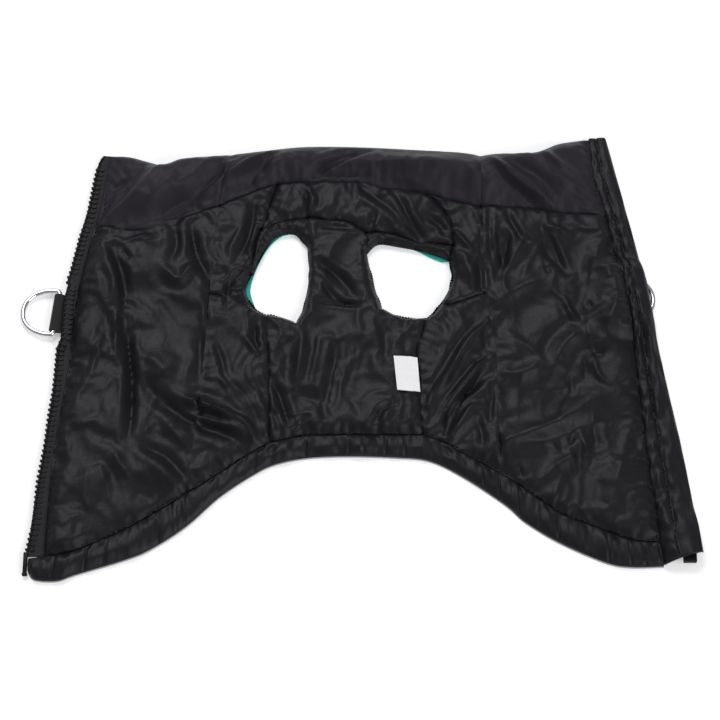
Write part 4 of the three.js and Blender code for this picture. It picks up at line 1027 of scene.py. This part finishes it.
# The guard is a folded flap of padded taffeta, 25 mm wide, sewn over the right half of the zip with a
# second row of stitches along its middle, so it lies in two puffed and gathered rolls.
guard_edge = [
    (149.5, 144.7), (152, 132.2), (159.3, 95.8), (166.3, 60.8), (170, 42), (172.6, 20), (176.9, -11),
    (184.4, -56.7), (189.7, -96.2), (192.9, -124.2),
]
GUARD_LENGTH = 277.0
guard_steps = 504
guard_inner = evenly(seam_run("guardFoot guardLow guardTop", 3), guard_steps)
guard_outer = smooth_line(guard_edge[::-1], guard_steps)
slider_place = np.array([185.4, -117.5, 3.1])


SLIDER_RISE = 3.6       # how far the slider lifts the right tape


def over_slider(y):
    """1 over the slider, falling to 0 above it."""
    return 1 - step(y, -110, -92)


def over_ring(points):
    """How far the right ring's tab lifts what lies over it."""
    return np.maximum(0, lift(points) - SHELL_THICK)


def guard_section(t, inner, outer):
    """The guard's section: a narrow gathered roll, its second row of stitches, and a flatter outer half."""
    def pucker(place, spacing):
        return noise.noise(Vector((GUARD_LENGTH * t / spacing, 3 * place, 9.5)))

    flat = 1 - 0.55 * step(inner[1], 70, 105)
    rows = [
        (0.01, 2.9, 0), (0.01, 4.2 + 0.3 * pucker(0, 5), 0),
        (0.09, 4.3 + flat * (1.0 + 1.3 * pucker(0.1, 4.4)), 1.0),
        (0.2, 4.3 + flat * (1.5 + 1.7 * pucker(0.4, 6)), 2.2),
        (0.31, 4.3 + flat * (1.0 + 1.5 * pucker(0.7, 5)), 3.4),
        (0.4 + 0.02 * pucker(3, 9), 4.1 + 0.5 * pucker(1, 7), 4.4),
        (0.5, 4.8 + flat * (0.4 + 1.3 * pucker(1.3, 7)), 4.6),
        (0.7, 5.2 + flat * (0.5 + 1.7 * pucker(1.7, 15)), 4.5),
        (0.88, 4.6 + 1.2 * pucker(2.2, 12), 5.0),
        (0.99, 3 + 0.7 * pucker(2.6, 11), 5.4), (0.99, 1.2, 4.8), (0.93, 2.9, 5.2), (0.47, 3.3, 4.8),
    ]
    at = np.array([inner + row[0] * (outer - inner) for row in rows])
    bump = over_ring(at)
    gain = over_slider(at[:, 1])
    return [(row[0], row[1] + bump[i] + row[2] * gain[i]) for i, row in enumerate(rows)]


def guard_height(k):
    """Height of the guard's second row of stitches."""
    return guard_section(k / (len(guard_inner) - 1), guard_inner[k], guard_outer[k])[5][1]


guard = strip("zip_guard_cloth", guard_inner, guard_outer, guard_section, lining_taffeta, 36)
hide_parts("zip_guard")
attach(guard, "coat")

TAPE_END = 0.63             # where the right tape ends, across the guard
tape_right_edge = guard_inner + TAPE_END * (guard_outer - guard_inner)
tape_right_edge[:, 1] = np.maximum(tape_right_edge[:, 1], slider_place[1] - 4.3)


def right_tape_section(t, inner, outer):
    """The right tape's section, lifted by the ring's tab and by the slider."""
    gap = 0.25 / np.hypot(*(outer - inner))
    rows = [(gap, 0), (gap, TAPE), (0.9, TAPE), (0.95, TAPE + 0.15), (1, TAPE), (1, 0), (0.95, -0.15)]
    at = np.array([inner + row[0] * (outer - inner) for row in rows])
    bump = over_ring(at)
    gain = SLIDER_RISE * over_slider(at[:, 1]) * np.array([row[0] for row in rows])
    return [(row[0], TAPE_LOW + row[1] + bump[i] + gain[i]) for i, row in enumerate(rows)]


tape_right = strip("zip_tape_right_ribbon", guard_inner, tape_right_edge, right_tape_section,
                   zip_ribbon)
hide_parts("zip_tape_right")
for tape in (tape_left, tape_right):
    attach(tape, "coat")


# Zip teeth. Moulded acetal, one every 3.2 mm, each gripping the tape's cord: a head on a short neck, with
# its back half round the cord. The right row ends at the slider.
tooth_tips = [
    (-159.2, 127), (-161, 117), (-163, 102), (-164.5, 90.5), (-167.8, 79), (-169.5, 70),
    (-172.5, 55), (-175, 46.5), (-176.4, 41.5), (-177.5, 20), (-178, 4), (-178.5, -12),
    (-179.2, -24), (-180.8, -38), (-182, -55), (-183.5, -67), (-185, -78), (-185.5, -87),
    (-186, -103), (-187.5, -112), (-189.5, -124),
]
TOOTH_PITCH = 3.18


def tooth(turn, place, half_thick):
    """One tooth's corners and faces. Its head points along "turn"."""
    outline = [
        (-2.9, -0.55), (-1.9, -0.9), (-0.9, -0.9), (-0.2, -0.42), (0.7, -0.36), (1.2, -0.6),
        (1.7, -0.66), (2.3, -0.5), (2.6, 0.0), (2.3, 0.5), (1.7, 0.66), (1.2, 0.6), (0.7, 0.36),
        (-0.2, 0.42), (-0.9, 0.9), (-1.9, 0.9), (-2.9, 0.55),
    ]
    rings = ((0.86, -1.0), (1.0, -0.72), (1.0, 0.72), (0.86, 1.0))
    points = []
    for grow, z in rings:
        for x, y in outline:
            x, y = x * (1 + (grow - 1) * 0.4), y * grow
            points.append((
                place[0] + turn[0] * x - turn[1] * y, place[1] + turn[1] * x + turn[0] * y,
                place[2] + z * half_thick,
            ))
    n = len(outline)
    faces = [tuple(reversed(range(n))), tuple(range(3 * n, 4 * n))]
    for k in range(3):
        for i in range(n):
            j = (i + 1) % n
            faces.append((k * n + i, k * n + j, (k + 1) * n + j, (k + 1) * n + i))
    return points, faces


def tooth_row(name, chain, heights, half_thick):
    """A row of teeth along a chain of places, as one object."""
    points, faces = [], []
    for k in range(1, len(chain) - 1):
        along = chain[k + 1] - chain[k - 1]
        along /= np.hypot(*along)
        out = np.array([along[1], -along[0]])
        corners, sides = tooth(out, (*(chain[k] - middle), heights[k]), half_thick)
        faces += [tuple(i + len(points) for i in side) for side in sides]
        points += corners
    return add_object(name, np.array(points) * 0.001, faces, moulded_acetal, smooth=False)


# Moulded acetal: black, with the even low gloss of a smooth steel mould.
moulded_acetal, shader = new_material("black moulded acetal")
place = add_node(moulded_acetal, "TexCoord")
flow = add_node(moulded_acetal, "TexNoise", {}, {
    "Vector": place.outputs["Object"], "Scale": 900.0, "Detail": 2.0,
})
tone = add_node(moulded_acetal, "MixRGB", {}, {
    "Fac": flow.outputs["Fac"], "Color1": linear("#09090a"), "Color2": linear("#111113"),
})
gloss = add_node(moulded_acetal, "MapRange", {}, {
    "Value": flow.outputs["Fac"], "To Min": 0.42, "To Max": 0.55,
})
join(moulded_acetal, shader, {
    "Base Color": tone.outputs[0], "Roughness": gloss.outputs[0], "IOR": 1.48,
    "Specular IOR Level": 0.2,
})

tips = smooth_line(tooth_tips, 400)
left_tips = evenly(tips, int(length_of(tips) / TOOTH_PITCH))
left_heights = TAPE_LOW + TAPE / 2 + 0.15 + 2.5 * near_left_ring(left_tips[:, 1], 13, 27)
left_ahead = np.gradient(left_tips, axis=0)
left_ahead /= np.hypot(*left_ahead.T)[:, None]
left_out = np.stack([left_ahead[:, 1], -left_ahead[:, 0]], axis=1)
left_in = 2.6 + 3.3 * near_left_ring(left_tips[:, 1], 16.5, 23)
left_places = left_tips - left_in[:, None] * left_out
teeth_left = tooth_row("zip_teeth_left", left_places, left_heights, 1.25)

right_edge = tape_right_edge[tape_right_edge[:, 1] > slider_place[1] + 6.5]
right_places = evenly(right_edge, int(length_of(right_edge) / TOOTH_PITCH))
right_heights = (TAPE_LOW + TAPE / 2 + over_ring(right_places)
                 + SLIDER_RISE * over_slider(right_places[:, 1]) * TAPE_END)
teeth_right = tooth_row("zip_teeth_right", right_places, right_heights, 0.9)
for teeth in (teeth_left, teeth_right):
    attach(teeth, "coat")


# Zip pin, box and slider. Moulded acetal, at the lower ends of the two tapes: the pin on the left, the
# slider run down to its box on the right, with its flat pull tab hung from an arch on the far side.
def add_block(build, low, high, round_off):
    """Adds a block with rounded edges to a mesh, from its lowest and highest corners in millimetres."""
    low, high = Vector(low), Vector(high)
    made = bmesh.ops.create_cube(build, size=1, matrix=Matrix.LocRotScale(
        (low + high) / 2, None, high - low,
    ))
    edges = list({edge for point in made["verts"] for edge in point.link_edges})
    bmesh.ops.bevel(build, geom=edges, offset=round_off, segments=3, affect="EDGES", profile=0.5)


def add_built(name, build, place, material, turn=None):
    """The object of a mesh built in millimetres round its own origin."""
    build.transform(Matrix.Translation(Vector(place)) @ (turn or Matrix()))
    build.transform(Matrix.Translation((-middle[0], -middle[1], 0)))
    build.transform(Matrix.Scale(0.001, 4))
    mesh = bpy.data.meshes.new(name)
    build.to_mesh(mesh)
    build.free()
    mesh.materials.append(material)
    mesh.polygons.foreach_set("use_smooth", [True] * len(mesh.polygons))
    mesh.set_sharp_from_angle(angle=math.radians(35))
    made = bpy.data.objects.new(name, mesh)
    bpy.context.scene.collection.objects.link(made)
    return made


build = bmesh.new()
add_block(build, (-1.2, -7, -1), (1.2, 7, 1), 0.45)
add_block(build, (-1.5, -7, -1.05), (1.5, -5.4, 1.05), 0.4)
zip_pin = add_built("zip_pin_moulding", build, (-188.4, -129.5, TAPE_LOW + TAPE / 2), moulded_acetal)
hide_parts("zip_pin")

half_wide, half_long, plate, channel = 4.7, 5.5, 0.9, 2.4
upper = plate + channel
arch_drop = 3.0
build = bmesh.new()
for low, high, round_off in (
    ((-half_wide, -half_long, 0), (half_wide, half_long, plate), 0.35),
    ((-half_wide, -half_long, upper), (half_wide, half_long, upper + plate), 0.35),
    ((-0.9, half_long - 4, 0.4), (0.9, half_long, upper + 0.4), 0.3),
    ((half_wide - 0.9, -half_long, 0.4), (half_wide, half_long - 3, upper + 0.4), 0.3),
    ((-1.1, -4, -arch_drop), (1.1, 4, 0.9 - arch_drop), 0.3),
    ((-1.1, -4, -arch_drop), (1.1, -3.1, 0.4), 0.3),
    ((-1.1, 3.1, -arch_drop), (1.1, 4, 0.4), 0.3),
):
    add_block(build, low, high, round_off)
zip_slider = add_built("zip_slider_moulding", build, slider_place, moulded_acetal)
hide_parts("zip_slider")

build = bmesh.new()
add_block(build, (-3.8, -6.6, 0), (3.8, -1.3, 3.3), 0.5)
add_block(build, (0.8, -2.3, 0.1), (3.8, -0.3, 3.2), 0.4)
box_place = slider_place + (0, -half_long, upper / 2 - 1.1)
zip_box = add_built("zip_box_moulding", build, box_place, moulded_acetal)
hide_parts("zip_box")
for piece in (zip_pin, zip_slider, zip_box):
    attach(piece, "coat")

pull_place = (185.4, -115.3, 2.05)
build = bmesh.new()
for low, high, round_off in (
    ((-3.5, -0.6, -0.6), (3.5, 0.6, 0.6), 0.35),
    ((-3.5, -0.3, -0.6), (-1.8, 7, 0.6), 0.35),
    ((1.8, -0.3, -0.6), (3.5, 7, 0.6), 0.35),
    ((-3.5, 6, -0.6), (3.5, 23.4, 0.6), 0.4),
    ((-2.5, 9.5, -0.3), (2.5, 21.5, 0.62), 0.25),
):
    add_block(build, low, high, round_off)
pull_turn = Matrix.Rotation(-math.asin((2.05 - 0.6 - 0.05) / (24 - 0.6)), 4, "X")
pull_tab = add_built("zip_pull_tab_moulding", build, pull_place, moulded_acetal, pull_turn)
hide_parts("zip_pull_tab")
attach(pull_tab, "pull_tab")


# D-rings and their tabs. Each ring is bent from 3.2 mm steel wire, butt-welded and chrome-plated. A tab of
# 23 mm webbing folds round its bar and is sewn in beside the zip.
WIRE = 1.6                      # half the wire's thickness
RING_HALF = 25.4 / 2 + WIRE     # half the ring's width
WEBBING = 1.0                   # thickness
BAR_HEIGHT = WIRE + 0.3 + WEBBING


def bezier(corners, steps):
    """Points along a Bezier curve with three or four corners, without the last."""
    out = []
    for t in np.linspace(0, 1, steps, endpoint=False):
        rows = [np.array(corner, float) for corner in corners]
        while len(rows) > 1:
            rows = [a + (b - a) * t for a, b in zip(rows[:-1], rows[1:])]
        out.append(rows[0])
    return out


def ring_object(name, place, turn):
    """A D-ring with its bar along the y axis, tipped until its bow lies on the table."""
    h, bend = RING_HALF, 2.7
    path = np.array(
        bezier([(0, bend - h), (0, 0), (0, h - bend)], 10)
        + bezier([(0, h - bend), (0, h), (bend, h)], 8)
        + bezier([(bend, h), (13, h), (20, 8.5), (20, 0)], 28)
        + bezier([(20, 0), (20, -8.5), (13, -h), (bend, -h)], 28)
        + bezier([(bend, -h), (0, -h), (0, bend - h)], 8)
    )
    sides = 20
    points, faces = [], []
    for k, (x, y) in enumerate(path):
        along = path[(k + 1) % len(path)] - path[k - 1]
        along /= np.hypot(*along)
        for i in range(sides):
            angle = math.tau * i / sides
            out = WIRE * math.cos(angle)
            points.append((x + along[1] * out, y - along[0] * out, WIRE * math.sin(angle)))
    for k in range(len(path)):
        for i in range(sides):
            a, b = k * sides + i, k * sides + (i + 1) % sides
            c, d = ((k + 1) % len(path)) * sides + (i + 1) % sides, ((k + 1) % len(path)) * sides + i
            faces.append((a, b, c, d))
    tip = Matrix.Rotation(math.asin((BAR_HEIGHT - WIRE) / 20), 4, "Y")
    swing = Matrix.Rotation(math.radians(turn), 4, "Z")
    shift = Matrix.Translation((place[0] - middle[0], place[1] - middle[1], BAR_HEIGHT))
    whole = shift @ swing @ tip
    made = add_object(name, [(whole @ Vector(p)) * 0.001 for p in points], faces, chromed_steel)
    face_out(made)
    return made


# Chrome-plated steel: a bright mirror, faintly hazed by wear where a clip slides on it.
chromed_steel, shader = new_material("chrome-plated steel")
place = add_node(chromed_steel, "TexCoord")
wear = add_node(chromed_steel, "TexNoise", {}, {
    "Vector": place.outputs["Object"], "Scale": 260.0, "Detail": 5.0, "Roughness": 0.7,
})
haze = add_node(chromed_steel, "MapRange", {}, {
    "Value": wear.outputs["Fac"], "From Min": 0.35, "From Max": 0.75, "To Min": 0.06, "To Max": 0.22,
})
tone = add_node(chromed_steel, "MixRGB", {}, {
    "Fac": wear.outputs["Fac"], "Color1": linear("#e4e6e8"), "Color2": linear("#cfd1d3"),
})
join(chromed_steel, shader, {
    "Base Color": tone.outputs[0], "Roughness": haze.outputs[0], "Metallic": 1.0,
})

# Polypropylene webbing: matt black, with coarse ribs 1.4 mm wide along its length.
# Its two colours are painted shade: the first between the threads, the second where they cross high.
webbing = woven(
    "polypropylene webbing", (("Y", 0.0014, 0.5), ("X", 0.0009, 1.0)), "#0c0c0e", "#1a1a1d", 0.7, 0.0003,
    {"Roughness": 0.8, "Sheen Weight": 0.1},
)


def ring_tab(name, place, reach, turn):
    """A webbing loop round a ring's bar, with both its ends in the seam."""
    tail, eye = 2.2, WIRE + 0.3
    outer = [(reach, 0), (reach, tail), (reach * 0.6 + 2, tail), (7.2, tail + 0.15)]
    outer += [(BAR_HEIGHT * math.cos(a), BAR_HEIGHT * (1 + math.sin(a)))
              for a in np.radians([50, 70, 90, 115, 140, 165, 190, 215, 240, 270])]
    inner = [(eye * math.cos(a), BAR_HEIGHT + eye * math.sin(a))
             for a in -np.radians(np.arange(0, 360, 15.0))]
    half = 11.5
    section = outer + inner
    build = bmesh.new()
    rows = [[build.verts.new((x, y, z)) for x, z in section] for y in np.linspace(-half, half, 9)]
    rings = [list(range(len(outer))), list(range(len(outer), len(section)))]
    for low, high in zip(rows[:-1], rows[1:]):
        for ring in rings:
            for a, b in zip(ring, ring[1:] + ring[:1]):
                build.faces.new((low[a], low[b], high[b], high[a]))
    for row in (rows[0], rows[-1]):
        edges = []
        for ring in rings:
            edges += [build.edges.get((row[a], row[b])) for a, b in zip(ring, ring[1:] + ring[:1])]
        bmesh.ops.triangle_fill(build, edges=edges, use_beauty=True)
    bmesh.ops.recalc_face_normals(build, faces=build.faces)
    swing = Matrix.Rotation(math.radians(turn + 180), 4, "Z")
    return add_built(name, build, (place[0], place[1], 0), webbing, swing)


for side, place, reach, turn in (
    ("left", ring_left_place, 9.5, 174), ("right", ring_right_place, 17.2, 0),
):
    ring = ring_object(f"d_ring_{side}_wire", place, turn)
    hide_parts(f"d_ring_{side}")
    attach(ring, f"ring_{side}")
    tab = ring_tab(f"ring_tab_{side}_webbing", place, reach, turn)
    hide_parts(f"ring_tab_{side}")
    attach(tab, "coat")


# Stitches. Black polyester thread: lock stitches about 3 mm long along both zips, the middle of the guard
# and the hem, and shorter, thicker ones that bind the cut edges round the leg holes.
STITCH = [(0.0, -0.5, 0.5), (0.14, 0.12, 1.0), (0.5, 0.3, 1.0), (0.74, 0.12, 1.0), (0.88, -0.5, 0.5)]
STITCH_SIDES = 6


def stitch_row(line, heights, spacing, half_wide):
    """Stitches along a line. Each is a short length of thread that dips into the cloth at its ends, from
    rounds at parts of the spacing, with their rise and their share of the thickness."""
    points, faces = [], []
    far = np.concatenate([[0], np.cumsum(np.hypot(*np.diff(line, axis=0).T))])
    for start in np.arange(spacing / 2, far[-1] - spacing, spacing):
        rows = []
        sway = noise.noise(Vector((start / 7, line[0][0], 3.5)))
        sink = 0.35 * noise.noise(Vector((start / 5, line[0][1], 6.5))) - 0.1
        for part, rise, wide in STITCH:
            at = start + part * spacing
            here = np.array([np.interp(at, far, line[:, 0]), np.interp(at, far, line[:, 1])])
            ahead = np.array([np.interp(at + 0.5, far, line[:, 0]), np.interp(at + 0.5, far, line[:, 1])])
            along = (ahead - here) / max(np.hypot(*(ahead - here)), 1e-6)
            across = np.array([-along[1], along[0]])
            here = here + across * (1.1 * sway + 0.5 * (part - 0.5) * sway)
            beside = across * half_wide * wide
            z = np.interp(at, far, heights) + rise + sink
            for a in np.radians(np.arange(0, 360, 360 / STITCH_SIDES)):
                rows.append((*(here - middle + beside * math.cos(a)), z + half_wide * wide * math.sin(a)))
        base = len(points)
        points += rows
        last = len(rows) - STITCH_SIDES
        for low in range(base, base + last, STITCH_SIDES):
            for i in range(STITCH_SIDES):
                j = (i + 1) % STITCH_SIDES
                faces.append((low + i, low + j, low + STITCH_SIDES + j, low + STITCH_SIDES + i))
        faces.append(tuple(base + i for i in reversed(range(STITCH_SIDES))))
        faces.append(tuple(base + last + i for i in range(STITCH_SIDES)))
    return points, faces


def aside(line, amount):
    """A line moved to its left by this much."""
    along = np.gradient(line, axis=0)
    along /= np.maximum(np.hypot(*along.T), 1e-6)[:, None]
    return line + amount * np.stack([-along[:, 1], along[:, 0]], axis=1)


# Spun polyester thread: black and matt, and slightly hairy.
thread = spun("black polyester thread", 1800.0, "#060607", "#101012", 0.9, 0.1)
stitch_points, stitch_faces = [], []
guard_middle = guard_inner + 0.4 * (guard_outer - guard_inner)
guard_lift = np.array([guard_height(k) for k in range(len(guard_inner))])
stitch_lines = [(guard_middle, guard_lift, 3.2, 0.26)]
for names, amount, sunk, spacing, half_wide in (
    ("zipLow zipTop", -1.2, 0, 3.2, 0.26), ("guardLow guardTop", 1.0, 0, 3.2, 0.26),
    ("hemA hemB hemC hemD hemE", 0.9, 0, 3.2, 0.26),
    ("strapEdgeLeft -bandEdgeLeft bandTipLeft -holeLowLeft holeFootLeft holeChestLeft", -0.3, 0.5, 1.7, 0.6),
    ("strapEdgeRight bandEdgeRight -holeLowRight -holeFootRight -holeChestRight", 0.3, 0.5, 1.7, 0.6),
):
    line = seam_run(names, 3)
    stitch_lines.append((aside(line, amount), over_lining(line) - sunk, spacing, half_wide))
for line, heights, spacing, half_wide in stitch_lines:
    more_points, more_faces = stitch_row(line, heights, spacing, half_wide)
    stitch_faces += [tuple(i + len(stitch_points) for i in face) for face in more_faces]
    stitch_points += more_points
stitches = add_object("lock_stitches", np.array(stitch_points) * 0.001, stitch_faces, thread)
face_out(stitches)
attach(stitches, "coat")


# Size label. White satin ribbon, 14 mm wide, sewn down at its top edge over the chest panel's padding.
# It is bare.
LABEL_THICK = 0.8
label_rows, label_columns = 44, 28
label_low = smooth_line([(21.5, -25.2), (34.8, -25.9)], label_columns)
label_high = smooth_line([(19.5, -3.5), (33.3, -4.1)], label_columns)
across = np.linspace(0, 1, label_rows + 1)[:, None, None]
label_grid = (label_low[None] * (1 - across) + label_high[None] * across).reshape(-1, 2)
label_top = np.max([
    over_lining(label_grid + (dx, dy)) for dx in (-3.0, 0.0, 3.0) for dy in (-3.0, 0.0, 3.0)
], axis=0) + 0.3
wide = label_columns + 1
label_quads = [
    (j * wide + i, j * wide + i + 1, (j + 1) * wide + i + 1, (j + 1) * wide + i)
    for j in range(label_rows) for i in range(label_columns)
]
# Woven satin: white, with a soft even shine. Its threads, 0.1 mm apart, are drawn 0.6 mm apart.
# Its two colours are painted shade: the first between the threads, the second where they cross high.
satin = woven(
    "white woven satin ribbon", (("X", 0.0006, 0.5),), "#f4f4f3", "#fdfdfc", 0.3, 0.0001,
    {"Roughness": 0.5, "Sheen Weight": 0.2},
)
label = cloth_wall("size_label_ribbon", label_grid, label_quads, lambda points: label_top,
                   lambda points: label_top + LABEL_THICK, satin, trim=0.0)
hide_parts("size_label")
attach(label, "coat")
